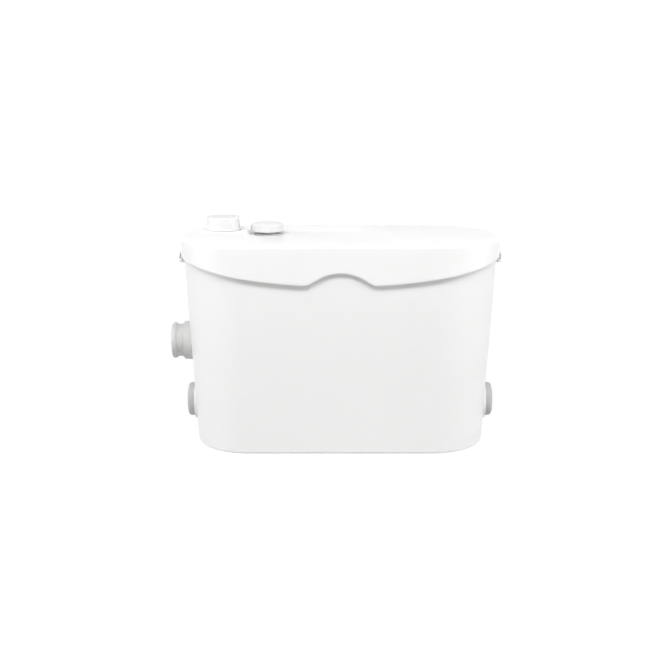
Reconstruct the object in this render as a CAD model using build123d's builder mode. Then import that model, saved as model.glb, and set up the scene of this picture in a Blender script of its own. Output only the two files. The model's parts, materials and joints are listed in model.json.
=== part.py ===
from build123d import *
from math import cos, isclose, radians, sin, sqrt, tan
import os

# Grey water macerator pump, in millimetres, +Z up, front towards -Y.
# The origin is on the floor, under the middle of the tank.
# Heights are counted from the floor, and half sizes from the middle.

# Tank
TANK_HALF_WIDTH = 193.5
TANK_HALF_DEPTH = 83.5
TANK_END_FLAT = 9.5
TANK_DRAFT = 2.9
TANK_HEIGHT = 258.0
TANK_WALL = 3.5
TANK_FLOOR = 4.0
TANK_EDGE = 3.5

# Lid
LID_RISE = 21.0
LID_OVERHANG = 3.4
LID_EDGE = 7.0
LID_SKIN = 3.0
SKIRT_WALL = 2.6
SKIRT_DROP = 32.5
SKIRT_END_RISE = 28.0
RIM_WALL = 6.0
NOTCH_DROP = 15.5
NOTCH_HALF_WIDTH = 44.0
NOTCH_SLOPE = 31.0
NOTCH_CROWN = 54.0
NOTCH_CROWN_SHARE = 0.95
NOTCH_CORNER = 9.0
WELL_DEPTH = 10.0
WELL_INSET = 10.0
WELL_ARC = 195.0
WELL_ARC_ASIDE = 36.0
WELL_ARC_FORWARD = 75.0
WELL_SHELF_ASIDE = 29.0
WELL_SHELF_FORWARD = 44.0
WELL_CORNER = 8.0
WELL_FOOT_ROUND = 4.0
WELL_LIP_ROUND = 2.0
GASKET_THICK = 4.0
GASKET_WIDTH = 3.2
LAND_WIDTH = 6.0
LIP_WIDTH = 1.6
LIP_DEPTH = 10.0

# Side clips
CLIP_WIDTH = 30.0
CLIP_HEIGHT = 10.5
CLIP_THICK = 3.2
CLIP_PIN_DROP = 13.0
CLIP_PIN_RADIUS = 1.5
CLIP_KNUCKLE = 3.4
CLIP_LUG_WIDTH = 12.0
CLIP_CLEARANCE = 0.3
CATCH_RIB = 0.8

# Inlets
UPPER_INLET_HEIGHT = 134.0
LOWER_INLET_HEIGHT = 51.0
PIPE_BORE = 20.15
SOCKET_RADIUS = 26.0
SOCKET_DEPTH = 15.0
SOCKET_PROUD = 1.6
SLEEVE_RADIUS = 22.2
SLEEVE_COLLAR_RADIUS = 26.0
SLEEVE_COLLAR_LENGTH = 9.7
SLEEVE_NECK_RADIUS = 22.7
SLEEVE_NECK_LENGTH = 11.0
SLEEVE_LIP_RADIUS = 24.3
SLEEVE_LIP_LENGTH = 4.0
SLEEVE_STOP_RADIUS = 17.0
SLEEVE_STOP_DEPTH = 8.0
SLEEVE_BEAD = 2.0
SLEEVE_BEAD_LENGTH = 3.0
BUNG_HEAD_RADIUS = 22.7
BUNG_HEAD_LENGTH = 9.6
BUNG_ROUND = 4.5
BUNG_STEM_LENGTH = 12.0
BUNG_CLEARANCE = 0.3
FLAP_RADIUS = 22.5
FLAP_THICK = 3.0
FLAP_GAP = 0.3
FLAP_PIN_RISE = 28.0
FLAP_PIN_RADIUS = 1.5
FLAP_KNUCKLE = 3.5
FLAP_KNUCKLE_WIDTH = 9.8
FLAP_LUG_WIDTH = 4.0
FLAP_LUG_GAP = 0.6
RUNNING_CLEARANCE = 0.05

# Discharge outlet through the lid
OUTLET_INSET = 34.5
OUTLET_BACK_INSET = 39.5
OUTLET_BOSS_RADIUS = 31.0
SPIGOT_RADIUS = 16.5
SPIGOT_BORE = 13.0
SPIGOT_RISE = 14.0
SPIGOT_TAIL_CLEARANCE = 0.3
SPIGOT_FLANGE_RADIUS = 22.0
SPIGOT_FLANGE_THICK = 3.5
SPIGOT_TAIL_LENGTH = 34.0
SPIGOT_SEAL_THICK = 1.5
SPIGOT_NUT_RADIUS = 20.5
SPIGOT_NUT_THICK = 5.0
CAP_RADIUS = 24.25
CAP_TAPER = 1.5
CAP_RISE = 18.0
CAP_WALL = 2.4
CAP_ROUND = 1.6
CAP_CLEARANCE = 0.3
CAP_SEAL_THICK = 1.2

# Vent
VENT_ASIDE = 60.0
VENT_FORWARD = 1.0
VENT_TUBE_RADIUS = 15.0
VENT_TUBE_WALL = 2.2
VENT_TUBE_DEPTH = 26.0
VENT_HOLES = 6
VENT_HOLE_CIRCLE = 7.7
VENT_HOLE_RADIUS = 2.3
VENT_NECK_HEIGHT = 5.5
VENT_FLANGE_RADIUS = 18.0
VENT_FLANGE_THICK = 2.0
VENT_CAP_RADIUS = 22.5
VENT_CAP_DROP = 3.5
VENT_CAP_HEIGHT = 14.5
VENT_CAP_DOME = 3.0
VENT_CAP_WALL = 2.5
VENT_PLUG_LENGTH = 8.0
VENT_PLUG_SLOTS = 4
VENT_FLUTES = 30
VENT_FLUTE_RADIUS = 0.9
FILTER_HEIGHT = 14.0

# Pump
PUMP_INSET = 168.5
FOOT_HEIGHT = 8.0
FOOT_RADIUS = 9.0
FOOT_CIRCLE = 46.0
FOOT_COUNT = 3
STRAINER_HEIGHT = 18.0
STRAINER_RADIUS = 60.0
STRAINER_WALL = 3.0
STRAINER_SLOTS = 24
STRAINER_SLOT_WIDTH = 6.0
VOLUTE_HEIGHT = 36.0
VOLUTE_FLOOR = 5.0
VOLUTE_WALL = 3.5
VOLUTE_START_RADIUS = 46.0
VOLUTE_ARCS = 8
VOLUTE_EYE_RADIUS = 20.0
FLANGE_RADIUS = 71.0
FLANGE_THICK = 5.0
FLANGE_SCREW_CIRCLE = 66.5
FLANGE_SCREW_COUNT = 6
SCREW_RADIUS = 2.0
SCREW_HEAD_RADIUS = 3.4
SCREW_HEAD_HEIGHT = 2.6
SCREW_HOLE_CLEARANCE = 0.2
PIPE_RADIUS = 16.0
PIPE_INNER_RADIUS = 13.0
NOZZLE_LENGTH = 84.0
IMPELLER_RADIUS = 42.0
IMPELLER_PLATE = 4.0
IMPELLER_TIP_GAP = 6.0
IMPELLER_VANE_HEIGHT = 13.0
IMPELLER_VANES = 5
VANE_MIDDLE_OUT = 0.62
VANE_MIDDLE_SIDE = 0.16
VANE_END_OUT = 0.88
VANE_END_SIDE = 0.4
IMPELLER_HUB_RADIUS = 10.0
IMPELLER_HUB_DROP = 4.0
BLADE_LENGTH = 34.0
BLADE_WIDTH = 9.0
BLADE_THICK = 3.0
BLADE_HUB_INSET = 1.0
IMPELLER_NUT_HEIGHT = 6.0
IMPELLER_NUT_RADIUS = 9.0
SEAL_PLATE_THICK = 8.0
SEAL_RADIUS = 12.0
SEAL_HEIGHT = 9.0

# Motor
SHAFT_RADIUS = 7.5
SHAFT_END_RADIUS = 6.0
MOTOR_RADIUS = 62.0
MOTOR_WALL = 4.0
MOTOR_HEADROOM = 58.0
MOTOR_FLOOR = 6.0
BEARING_RADIUS = 17.5
BEARING_HEIGHT = 11.0
BEARING_SEAT_WALL = 4.0
STATOR_HEADROOM = 30.0
STATOR_LIFT = 32.0
STATOR_BORE = 33.0
STATOR_SLOTS = 18
STATOR_SLOT_WIDTH = 5.0
STATOR_SLOT_LOW = 36.0
STATOR_SLOT_HIGH = 51.0
WINDING_CLEARANCE = 0.3
WINDING_HEIGHT = 13.0
WINDING_OUTER = 53.0
AIR_GAP = 0.5
ROTOR_RING_HEIGHT = 7.0
ROTOR_RING_WALL = 9.0
COVER_SCREW_COUNT = 4
COVER_SCREW_START = 45.0
COVER_CAP_RADIUS = 25.0
COVER_CAP_HEIGHT = 20.0
COVER_CAP_ROUND = 3.0

# Riser to the outlet
ELBOW_RADIUS = 30.0
ELBOW_END_HEIGHT = 104.0
JOINT_GAP = 2.0
COUPLER_WALL = 3.0
COUPLER_LENGTH = 28.0
VALVE_RADIUS = 23.0
VALVE_WALL = 2.2
VALVE_NECK_LENGTH = 14.0
VALVE_CHAMBER_HEIGHT = 46.0
VALVE_END_THICK = 3.0
CHECK_FLAP_RADIUS = 15.0
CHECK_FLAP_THICK = 2.5
CHECK_PIN_RADIUS = 1.2
CHECK_PIN_OFFSET = 17.2
CHECK_KNUCKLE = 2.4
CHECK_KNUCKLE_WIDTH = 8.0
CHECK_LUG_WIDTH = 3.0
CLIP_BAND_WIDTH = 9.0
CLIP_BAND_THICK = 0.8

# Control box and level switch
BOX_INSET = 95.5
BOX_FRONT_GAP = 23.5
BOX_WIDTH = 74.0
BOX_DEPTH = 100.0
BOX_DROP = 86.0
BOX_HEIGHT = 50.0
BOX_WALL = 2.5
BOX_COVER_THICK = 3.0
BOX_CORNER = 6.0
BOX_POST_RADIUS = 4.5
BOX_POST_SINK = 1.0
BOX_SCREW_DEPTH = 7.5
SHELF_WIDTH = 4.0
SHELF_SPREAD = 34.0
SHELF_REACH = 40.0
SHELF_DROP = 40.0
DIP_ASIDE = 22.0
DIP_BACK = 24.0
DIP_RADIUS = 14.0
DIP_WALL = 2.0
DIP_FLOOR_GAP = 10.0
BELL_RADIUS = 26.0
BELL_WALL = 2.7
BELL_HEIGHT = 10.0
BELL_CONE = 10.0
BELL_CONE_STEP = 1.0
DIAPHRAGM_THICK = 1.5
DIAPHRAGM_DROP = 4.0
DIAPHRAGM_CLEARANCE = 0.3
PLUNGER_RADIUS = 4.0
PLUNGER_HEIGHT = 10.5
PLUNGER_ROUND = 2.0
PLUNGER_CLEARANCE = 1.0
SWITCH_LENGTH = 20.0
SWITCH_WIDTH = 10.0
SWITCH_HEIGHT = 14.0
SWITCH_LIFT = 6.0
LEVER_LENGTH = 18.0
LEVER_WIDTH = 4.0
LEVER_THICK = 0.6
LEVER_PIVOT_RADIUS = 0.8
LEVER_ARM = 10.0
BUTTON_RADIUS = 1.2
BUTTON_ARM = 4.0
CONTACT_GAP = 0.3
CAPACITOR_RADIUS = 17.0
CAPACITOR_LENGTH = 50.0
CAPACITOR_BACK = 77.0
CAPACITOR_ROUND = 2.5
TERMINAL_LENGTH = 28.0
TERMINAL_WIDTH = 16.0
TERMINAL_HEIGHT = 12.0
TERMINAL_WAYS = 4
LEAD_RADIUS = 3.5
LEAD_BEND = 12.0
LEAD_DROP = 20.0
LEAD_MOTOR_X = 34.0
LEAD_BACK = 84.0
LEAD_BOX_ASIDE = 34.0
LEAD_BOSS_RADIUS = 6.5
LEAD_BOSS_HEIGHT = 6.0

# Cable gland
GLAND_INSET = 93.5
GLAND_DROP = 20.5
GLAND_RADIUS = 10.0
GLAND_BORE = 4.5
GLAND_PAD_RADIUS = 17.0
GLAND_PAD_DEPTH = 9.0
GLAND_PAD_PROUD = 1.5
GLAND_HEX = 13.5
GLAND_HEX_LENGTH = 6.0
GLAND_DOME_LENGTH = 7.0
GLAND_DOME_RADIUS = 11.0
GLAND_NUT_LENGTH = 5.0
GLAND_TAIL = 8.0

# Heights of the lid and of what hangs from it, counted from the tank's rim
lid_top = TANK_HEIGHT + LID_RISE
skirt_low = TANK_HEIGHT - SKIRT_DROP
notch_top = TANK_HEIGHT - NOTCH_DROP
well_floor = lid_top - WELL_DEPTH
gasket_top = TANK_HEIGHT + GASKET_THICK
clip_pin_height = TANK_HEIGHT - CLIP_PIN_DROP
spigot_top = lid_top + SPIGOT_RISE
cap_top = lid_top + CAP_RISE
vent_cap_low = lid_top - VENT_CAP_DROP
vent_cap_top = vent_cap_low + VENT_CAP_HEIGHT
lead_height = well_floor - LID_SKIN - LEAD_DROP
gland_height = skirt_low - GLAND_DROP
box_bottom = TANK_HEIGHT - BOX_DROP

# Places along and across the tank, counted from its ends and its sides
tank_corner = TANK_HALF_DEPTH - TANK_END_FLAT
outlet_x = OUTLET_INSET - TANK_HALF_WIDTH
outlet_y = TANK_HALF_DEPTH - OUTLET_BACK_INSET
vent_x = outlet_x + VENT_ASIDE
vent_y = outlet_y - VENT_FORWARD
well_shelf_x = outlet_x + WELL_SHELF_ASIDE
well_shelf_y = outlet_y - WELL_SHELF_FORWARD
well_arc_x = outlet_x + WELL_ARC_ASIDE
well_arc_y = outlet_y - WELL_ARC_FORWARD
pump_x = TANK_HALF_WIDTH - PUMP_INSET
box_x = TANK_HALF_WIDTH - BOX_INSET
box_y = BOX_FRONT_GAP - TANK_HALF_DEPTH
dip_x = box_x + DIP_ASIDE
dip_y = box_y + DIP_BACK
capacitor_y = box_y + CAPACITOR_BACK
lead_box_x = box_x + LEAD_BOX_ASIDE
lead_y = box_y + LEAD_BACK
gland_x = TANK_HALF_WIDTH - GLAND_INSET

# Heights of the pump's stack, from the floor up
feet_top = TANK_FLOOR + FOOT_HEIGHT
strainer_top = feet_top + STRAINER_HEIGHT
volute_top = strainer_top + VOLUTE_HEIGHT
plate_top = volute_top + SEAL_PLATE_THICK
motor_top = TANK_HEIGHT - MOTOR_HEADROOM
cover_top = motor_top + FLANGE_THICK
nozzle_height = (strainer_top + VOLUTE_FLOOR + volute_top - FLANGE_THICK) / 2
nozzle_end = pump_x - NOZZLE_LENGTH
stator_bottom = plate_top + STATOR_LIFT
stator_top = motor_top - STATOR_HEADROOM
stator_height = stator_top - stator_bottom
slope = tan(radians(TANK_DRAFT))

pump = Plane(origin=(pump_x, 0, 0))
outlet = Plane(origin=(outlet_x, outlet_y, 0))
vent = Plane(origin=(vent_x, vent_y, 0))
dip = Plane(origin=(dip_x, dip_y, 0))


def tank_plan(height, inset=0.0, mode=Mode.ADD):
    """Draws the tank's outline at a height, drawn in by an inset."""
    grow = height * slope - inset
    RectangleRounded(
        2 * (TANK_HALF_WIDTH + grow), 2 * (TANK_HALF_DEPTH + grow), tank_corner + grow, mode=mode
    )


def wall_x(height, y=0.0, inset=0.0):
    """How far out the tank's end wall is at a height and a distance from the middle plane."""
    grow = height * slope - inset
    aside = max(0.0, abs(y) - (TANK_HALF_DEPTH - tank_corner))
    return TANK_HALF_WIDTH - tank_corner + sqrt((tank_corner + grow) ** 2 - aside**2)


def end_plane(side, out, height):
    """A plane across the tank's end, with its normal pointing out."""
    return Plane(origin=(side * out, 0, height), x_dir=(0, 1, 0), z_dir=(side, 0, 0))


def axial_plane(side, out, height):
    """The middle plane, with X pointing out of the tank's end and Y up."""
    return Plane(origin=(side * out, 0, height), x_dir=(side, 0, 0), z_dir=(0, -side, 0))


def turn_on_end(side, out, height, points):
    """Turns an outline of (distance out, radius) points about an inlet's axis."""
    with BuildSketch(axial_plane(side, out, height)) as profile:
        with BuildLine():
            Polyline(*points, close=True)
        make_face()
    revolve(profile.sketch, axis=Axis((side * out, 0, height), (side, 0, 0)))


def turn_upright(plane, points, mode=Mode.ADD):
    """Turns an outline of (radius, height) points about a plane's upright axis."""
    x, y, _ = tuple(plane.origin)
    with BuildSketch(Plane(origin=(x, y, 0), x_dir=(1, 0, 0), z_dir=(0, -1, 0))) as profile:
        with BuildLine():
            Polyline(*points, close=True)
        make_face()
    revolve(profile.sketch, axis=Axis((x, y, 0), (0, 0, 1)), mode=mode)


def ring(plane, low, high, outer, inner=0.0, mode=Mode.ADD):
    """A round ring, or a disc where there is no inner radius, between two heights."""
    with BuildSketch(plane.offset(low)) as profile:
        Circle(outer)
        if inner > 0:
            Circle(inner, mode=Mode.SUBTRACT)
    extrude(profile.sketch, amount=high - low, mode=mode)


def socket_face(height):
    """How far out an inlet socket's outer face is."""
    return wall_x(height) + SOCKET_PROUD


# Each inlet: its side, its height, and the depth of the seat that its flap closes on.
upper_seat = SOCKET_DEPTH + SLEEVE_BEAD_LENGTH
inlets = {
    "upper_inlet": (-1, UPPER_INLET_HEIGHT, upper_seat),
    "lower_left": (-1, LOWER_INLET_HEIGHT, SOCKET_DEPTH),
    "lower_right": (1, LOWER_INLET_HEIGHT, SOCKET_DEPTH),
}


def flap_pin_place(side, height, seat):
    """The place of a flap's hinge pin, as distance out and height."""
    out = socket_face(height) - seat - FLAP_GAP - FLAP_KNUCKLE - FLAP_GAP
    return out, height + FLAP_PIN_RISE


clip_pin_out = wall_x(TANK_HEIGHT) + LID_OVERHANG + CATCH_RIB + CLIP_CLEARANCE
gland_face = TANK_HALF_DEPTH + gland_height * slope + GLAND_PAD_PROUD

# Tank: a drafted shell with inlet sockets, flap lugs, clip lugs, a gland pad and two shelves.
with BuildPart() as tank:
    with BuildSketch():
        tank_plan(0)
    extrude(amount=TANK_HEIGHT, taper=-TANK_DRAFT)
    fillet(tank.faces().sort_by(Axis.Z)[0].edges(), TANK_EDGE)
    with BuildSketch(Plane.XY.offset(TANK_FLOOR)):
        tank_plan(TANK_FLOOR, TANK_WALL)
    extrude(amount=TANK_HEIGHT - TANK_FLOOR, taper=-TANK_DRAFT, mode=Mode.SUBTRACT)
    for side, height, seat in inlets.values():
        face = socket_face(height)
        with BuildSketch(end_plane(side, face - SOCKET_DEPTH, height)):
            Circle(SOCKET_RADIUS)
        extrude(amount=SOCKET_DEPTH)
        pin_out, pin_height = flap_pin_place(side, height, seat)
        lug_root = wall_x(pin_height) - TANK_WALL / 2
        lug_middle = (FLAP_KNUCKLE_WIDTH + FLAP_LUG_WIDTH) / 2 + FLAP_LUG_GAP
        for y in (-lug_middle, lug_middle):
            with BuildSketch(axial_plane(side, 0, 0).offset(y - FLAP_LUG_WIDTH / 2)):
                with Locations((pin_out, pin_height)):
                    Circle(FLAP_KNUCKLE)
                with Locations(((pin_out + lug_root) / 2, pin_height)):
                    Rectangle(lug_root - pin_out, 2 * FLAP_KNUCKLE)
            extrude(amount=FLAP_LUG_WIDTH)
        with Locations(Location((side * pin_out, 0, pin_height), (90, 0, 0))):
            Cylinder(FLAP_PIN_RADIUS, 2 * FLAP_KNUCKLE_WIDTH + 2 * FLAP_LUG_WIDTH, mode=Mode.SUBTRACT)
        bore = SLEEVE_RADIUS if seat == upper_seat else PIPE_BORE
        with BuildSketch(end_plane(side, face - SOCKET_DEPTH, height)):
            Circle(bore)
        extrude(amount=SOCKET_DEPTH, mode=Mode.SUBTRACT)
    for side in (-1, 1):
        lug_root = wall_x(clip_pin_height) - TANK_WALL / 2
        with BuildSketch(axial_plane(side, 0, 0).offset(-CLIP_LUG_WIDTH / 2)):
            with Locations((clip_pin_out, clip_pin_height)):
                Circle(CLIP_KNUCKLE)
            with Locations(((clip_pin_out + lug_root) / 2, clip_pin_height)):
                Rectangle(clip_pin_out - lug_root, 2 * CLIP_KNUCKLE)
        extrude(amount=CLIP_LUG_WIDTH)
        with Locations(Location((side * clip_pin_out, 0, clip_pin_height), (90, 0, 0))):
            Cylinder(CLIP_PIN_RADIUS, 2 * CLIP_LUG_WIDTH, mode=Mode.SUBTRACT)
    for y in (-SHELF_SPREAD, SHELF_SPREAD):
        top_out = wall_x(box_bottom, y, TANK_WALL / 2)
        low_out = wall_x(box_bottom - SHELF_DROP, y, TANK_WALL / 2)
        with BuildSketch(axial_plane(1, 0, 0).offset(-y - SHELF_WIDTH / 2)):
            with BuildLine():
                Polyline(
                    (top_out - SHELF_REACH, box_bottom),
                    (top_out, box_bottom),
                    (low_out, box_bottom - SHELF_DROP),
                    close=True,
                )
            make_face()
        extrude(amount=SHELF_WIDTH)
    with BuildSketch(Plane(origin=(gland_x, gland_face, gland_height), x_dir=(1, 0, 0), z_dir=(0, -1, 0))):
        Circle(GLAND_PAD_RADIUS)
    extrude(amount=GLAND_PAD_DEPTH)
    with BuildSketch(Plane(origin=(gland_x, gland_face, gland_height), x_dir=(1, 0, 0), z_dir=(0, -1, 0))):
        Circle(GLAND_RADIUS + SCREW_HOLE_CLEARANCE)
    extrude(amount=GLAND_PAD_DEPTH, mode=Mode.SUBTRACT)

# Upper inlet sleeve: rubber, gripped in its socket, with a collar, a neck and a lip.
neck_start = SLEEVE_COLLAR_LENGTH
lip_start = neck_start + SLEEVE_NECK_LENGTH
sleeve_end = lip_start + SLEEVE_LIP_LENGTH
with BuildPart() as upper_inlet_sleeve:
    turn_on_end(
        -1,
        socket_face(UPPER_INLET_HEIGHT),
        UPPER_INLET_HEIGHT,
        [
            (-upper_seat, SLEEVE_STOP_RADIUS),
            (-upper_seat, SLEEVE_RADIUS),
            (-SOCKET_DEPTH, SLEEVE_RADIUS + SLEEVE_BEAD),
            (-SOCKET_DEPTH, SLEEVE_RADIUS),
            (0, SLEEVE_RADIUS),
            (0, SLEEVE_COLLAR_RADIUS),
            (neck_start, SLEEVE_COLLAR_RADIUS),
            (neck_start, SLEEVE_NECK_RADIUS),
            (lip_start, SLEEVE_NECK_RADIUS),
            (lip_start, SLEEVE_LIP_RADIUS),
            (sleeve_end, SLEEVE_LIP_RADIUS),
            (sleeve_end, PIPE_BORE),
            (-SLEEVE_STOP_DEPTH, PIPE_BORE),
            (-SLEEVE_STOP_DEPTH, SLEEVE_STOP_RADIUS),
        ],
    )
    lip_edges = upper_inlet_sleeve.edges().filter_by(GeomType.CIRCLE).sort_by(Axis.X)[:2]
    fillet(lip_edges, (SLEEVE_LIP_RADIUS - PIPE_BORE) / 4)


def make_bung(side):
    """A rubber bung with a rounded head outside the socket and a stem inside it."""
    with BuildPart() as bung:
        turn_on_end(
            side,
            socket_face(LOWER_INLET_HEIGHT),
            LOWER_INLET_HEIGHT,
            [
                (-BUNG_STEM_LENGTH, 0),
                (-BUNG_STEM_LENGTH, PIPE_BORE - BUNG_CLEARANCE),
                (0, PIPE_BORE - BUNG_CLEARANCE),
                (0, BUNG_HEAD_RADIUS),
                (BUNG_HEAD_LENGTH, BUNG_HEAD_RADIUS),
                (BUNG_HEAD_LENGTH, 0),
            ],
        )
        fillet(bung.faces().sort_by(Axis.X)[-1 if side > 0 else 0].edges(), BUNG_ROUND)
    return bung


lower_left_bung = make_bung(-1)
lower_right_bung = make_bung(1)


def make_flap(side, height, seat):
    """An inlet flap: a disc that hangs against its seat from a knuckle on a pin."""
    face = socket_face(height)
    pin_out, pin_height = flap_pin_place(side, height, seat)
    disc_out = face - seat - FLAP_GAP - FLAP_THICK
    arm_low = height + FLAP_RADIUS - 2 * FLAP_KNUCKLE
    with BuildPart() as flap:
        with BuildSketch(end_plane(side, disc_out, height)):
            Circle(FLAP_RADIUS)
        extrude(amount=FLAP_THICK)
        with BuildSketch(axial_plane(side, 0, 0).offset(-FLAP_KNUCKLE_WIDTH / 2)):
            with Locations((pin_out, pin_height)):
                Circle(FLAP_KNUCKLE)
            with Locations((disc_out + FLAP_THICK / 2, (arm_low + pin_height) / 2)):
                Rectangle(FLAP_THICK, pin_height - arm_low)
        extrude(amount=FLAP_KNUCKLE_WIDTH)
        with Locations(Location((side * pin_out, 0, pin_height), (90, 0, 0))):
            Cylinder(FLAP_PIN_RADIUS + RUNNING_CLEARANCE, 2 * FLAP_KNUCKLE_WIDTH, mode=Mode.SUBTRACT)
    return flap


flaps = {f"{name}_flap": make_flap(*values) for name, values in inlets.items()}

with BuildPart() as inlet_flap_pins:
    for side, height, seat in inlets.values():
        pin_out, pin_height = flap_pin_place(side, height, seat)
        with Locations(Location((side * pin_out, 0, pin_height), (90, 0, 0))):
            Cylinder(FLAP_PIN_RADIUS, FLAP_KNUCKLE_WIDTH + 2 * FLAP_LUG_GAP + 2 * FLAP_LUG_WIDTH)

# Lid: the well in its top is drawn once, for the recess and for the skin below it.
with BuildSketch() as well:
    tank_plan(TANK_HEIGHT, WELL_INSET - LID_OVERHANG)
    with Locations((well_arc_x, well_arc_y)):
        Circle(WELL_ARC, mode=Mode.INTERSECT)
    with Locations((well_shelf_x, well_shelf_y)):
        Rectangle(
            TANK_HALF_WIDTH, TANK_HALF_DEPTH * 2, align=(Align.MAX, Align.MAX), mode=Mode.SUBTRACT
        )
    arc_ends = [v for v in well.vertices() if v.X > 0]
    shelf_corners = [
        v
        for v in well.vertices()
        if isclose(v.X, well_shelf_x) or isclose(v.Y, well_shelf_y, abs_tol=0.01)
    ]
    fillet(arc_ends + shelf_corners, WELL_CORNER)
    with Locations((outlet_x, outlet_y)):
        Circle(OUTLET_BOSS_RADIUS, mode=Mode.SUBTRACT)

notch_rise = notch_top - skirt_low
notch_top_half = NOTCH_HALF_WIDTH - notch_rise / tan(radians(NOTCH_SLOPE))
notch_low_half = NOTCH_HALF_WIDTH + notch_rise / tan(radians(NOTCH_SLOPE))
lid_half_width = wall_x(TANK_HEIGHT) + LID_OVERHANG
skirt_radius = (lid_half_width**2 + SKIRT_END_RISE**2) / (2 * SKIRT_END_RISE)

with BuildPart() as lid:
    with BuildSketch(Plane.XY.offset(skirt_low)):
        tank_plan(TANK_HEIGHT, -LID_OVERHANG)
    extrude(amount=lid_top - skirt_low)
    fillet(lid.faces().sort_by(Axis.Z)[-1].edges(), LID_EDGE)
    with BuildSketch(Plane.XY.offset(skirt_low)):
        tank_plan(TANK_HEIGHT, SKIRT_WALL - LID_OVERHANG)
    extrude(amount=well_floor - LID_SKIN - skirt_low, mode=Mode.SUBTRACT)
    with BuildSketch(Plane.XY.offset(well_floor - LID_SKIN)):
        tank_plan(TANK_HEIGHT, RIM_WALL - LID_OVERHANG)
        offset(well.sketch, amount=LID_SKIN, mode=Mode.SUBTRACT)
    extrude(amount=WELL_DEPTH, mode=Mode.SUBTRACT)
    with BuildSketch(Plane.XY.offset(well_floor)):
        add(well.sketch)
    extrude(amount=WELL_DEPTH, mode=Mode.SUBTRACT)
    well_foot = lid.faces().filter_by(lambda f: isclose(f.center().Z, well_floor, abs_tol=0.01))
    fillet(well_foot.edges(), WELL_FOOT_ROUND)
    well_lip = lid.faces().sort_by(Axis.Z)[-1].inner_wires()
    fillet(well_lip.edges(), WELL_LIP_ROUND)
    with BuildSketch(Plane.XY.offset(gasket_top)):
        tank_plan(TANK_HEIGHT)
        tank_plan(TANK_HEIGHT, LAND_WIDTH, mode=Mode.SUBTRACT)
    extrude(amount=lid_top - LID_SKIN - gasket_top)
    with BuildSketch(Plane.XY.offset(gasket_top - LIP_DEPTH)):
        tank_plan(TANK_HEIGHT, LAND_WIDTH - LIP_WIDTH)
        tank_plan(TANK_HEIGHT, LAND_WIDTH, mode=Mode.SUBTRACT)
    extrude(amount=LIP_DEPTH)
    with BuildSketch(Plane.XZ):
        with Locations((0, skirt_low + skirt_radius)):
            Circle(skirt_radius)
    extrude(amount=2 * TANK_HALF_DEPTH, both=True, mode=Mode.INTERSECT)
    with BuildSketch(Plane.XZ):
        with BuildLine():
            Polyline(
                (-notch_low_half, skirt_low - notch_rise),
                (-notch_top_half, notch_top),
                (notch_top_half, notch_top),
                (notch_low_half, skirt_low - notch_rise),
                close=True,
            )
        make_face()
        crown = [v for v in vertices() if v.Y > skirt_low]
        crown_limit = NOTCH_CROWN_SHARE * notch_top_half / tan(radians(NOTCH_SLOPE / 2))
        fillet(crown, min(NOTCH_CROWN, crown_limit))
    extrude(amount=2 * TANK_HALF_DEPTH, mode=Mode.SUBTRACT)
    for side in (-1, 1):
        with BuildSketch(end_plane(side, lid_half_width - SKIRT_WALL / 2, clip_pin_height + CLIP_HEIGHT)):
            SlotOverall(CLIP_WIDTH - CLIP_LUG_WIDTH, 2 * CATCH_RIB)
        extrude(amount=SKIRT_WALL / 2 + CATCH_RIB)
    corner_reach = NOTCH_HALF_WIDTH + NOTCH_CORNER
    low_edges = [e for e in lid.edges().filter_by(Axis.Y) if e.center().Z < skirt_low + NOTCH_CORNER / 2]
    corners = [e for e in low_edges if abs(e.center().X) < corner_reach]
    fillet(corners, NOTCH_CORNER)
    ring(outlet, gasket_top, lid_top, SPIGOT_RADIUS + CAP_CLEARANCE, mode=Mode.SUBTRACT)
    ring(vent, gasket_top, lid_top, VENT_TUBE_RADIUS + CAP_CLEARANCE, mode=Mode.SUBTRACT)

with BuildPart() as lid_gasket:
    with BuildSketch(Plane.XY.offset(TANK_HEIGHT)):
        tank_plan(TANK_HEIGHT, (TANK_WALL - GASKET_WIDTH) / 2)
        tank_plan(TANK_HEIGHT, (TANK_WALL + GASKET_WIDTH) / 2, mode=Mode.SUBTRACT)
    extrude(amount=GASKET_THICK)


def make_clip(side):
    """A side clip: two knuckles on a pin, and a plate that stands beside the lid's edge."""
    with BuildPart() as clip:
        with BuildSketch(axial_plane(side, 0, 0).offset(-CLIP_WIDTH / 2)):
            with Locations((clip_pin_out, clip_pin_height)):
                Circle(CLIP_KNUCKLE)
            with Locations((clip_pin_out + CLIP_THICK / 2, clip_pin_height + CLIP_HEIGHT / 2)):
                Rectangle(CLIP_THICK, CLIP_HEIGHT)
        extrude(amount=CLIP_WIDTH)
        fillet(clip.edges().filter_by(Axis.Y).sort_by(Axis.Z)[-2:], CLIP_THICK / 3)
        gap_height = 2 * (CLIP_KNUCKLE + CLIP_CLEARANCE)
        with Locations((side * clip_pin_out, 0, clip_pin_height)):
            Box(gap_height, CLIP_LUG_WIDTH + 2 * CLIP_CLEARANCE, gap_height, mode=Mode.SUBTRACT)
        with Locations(Location((side * clip_pin_out, 0, clip_pin_height), (90, 0, 0))):
            Cylinder(CLIP_PIN_RADIUS + RUNNING_CLEARANCE, CLIP_WIDTH, mode=Mode.SUBTRACT)
    return clip


left_clip = make_clip(-1)
right_clip = make_clip(1)

with BuildPart() as clip_pins:
    for side in (-1, 1):
        with Locations(Location((side * clip_pin_out, 0, clip_pin_height), (90, 0, 0))):
            Cylinder(CLIP_PIN_RADIUS, CLIP_WIDTH)

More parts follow.
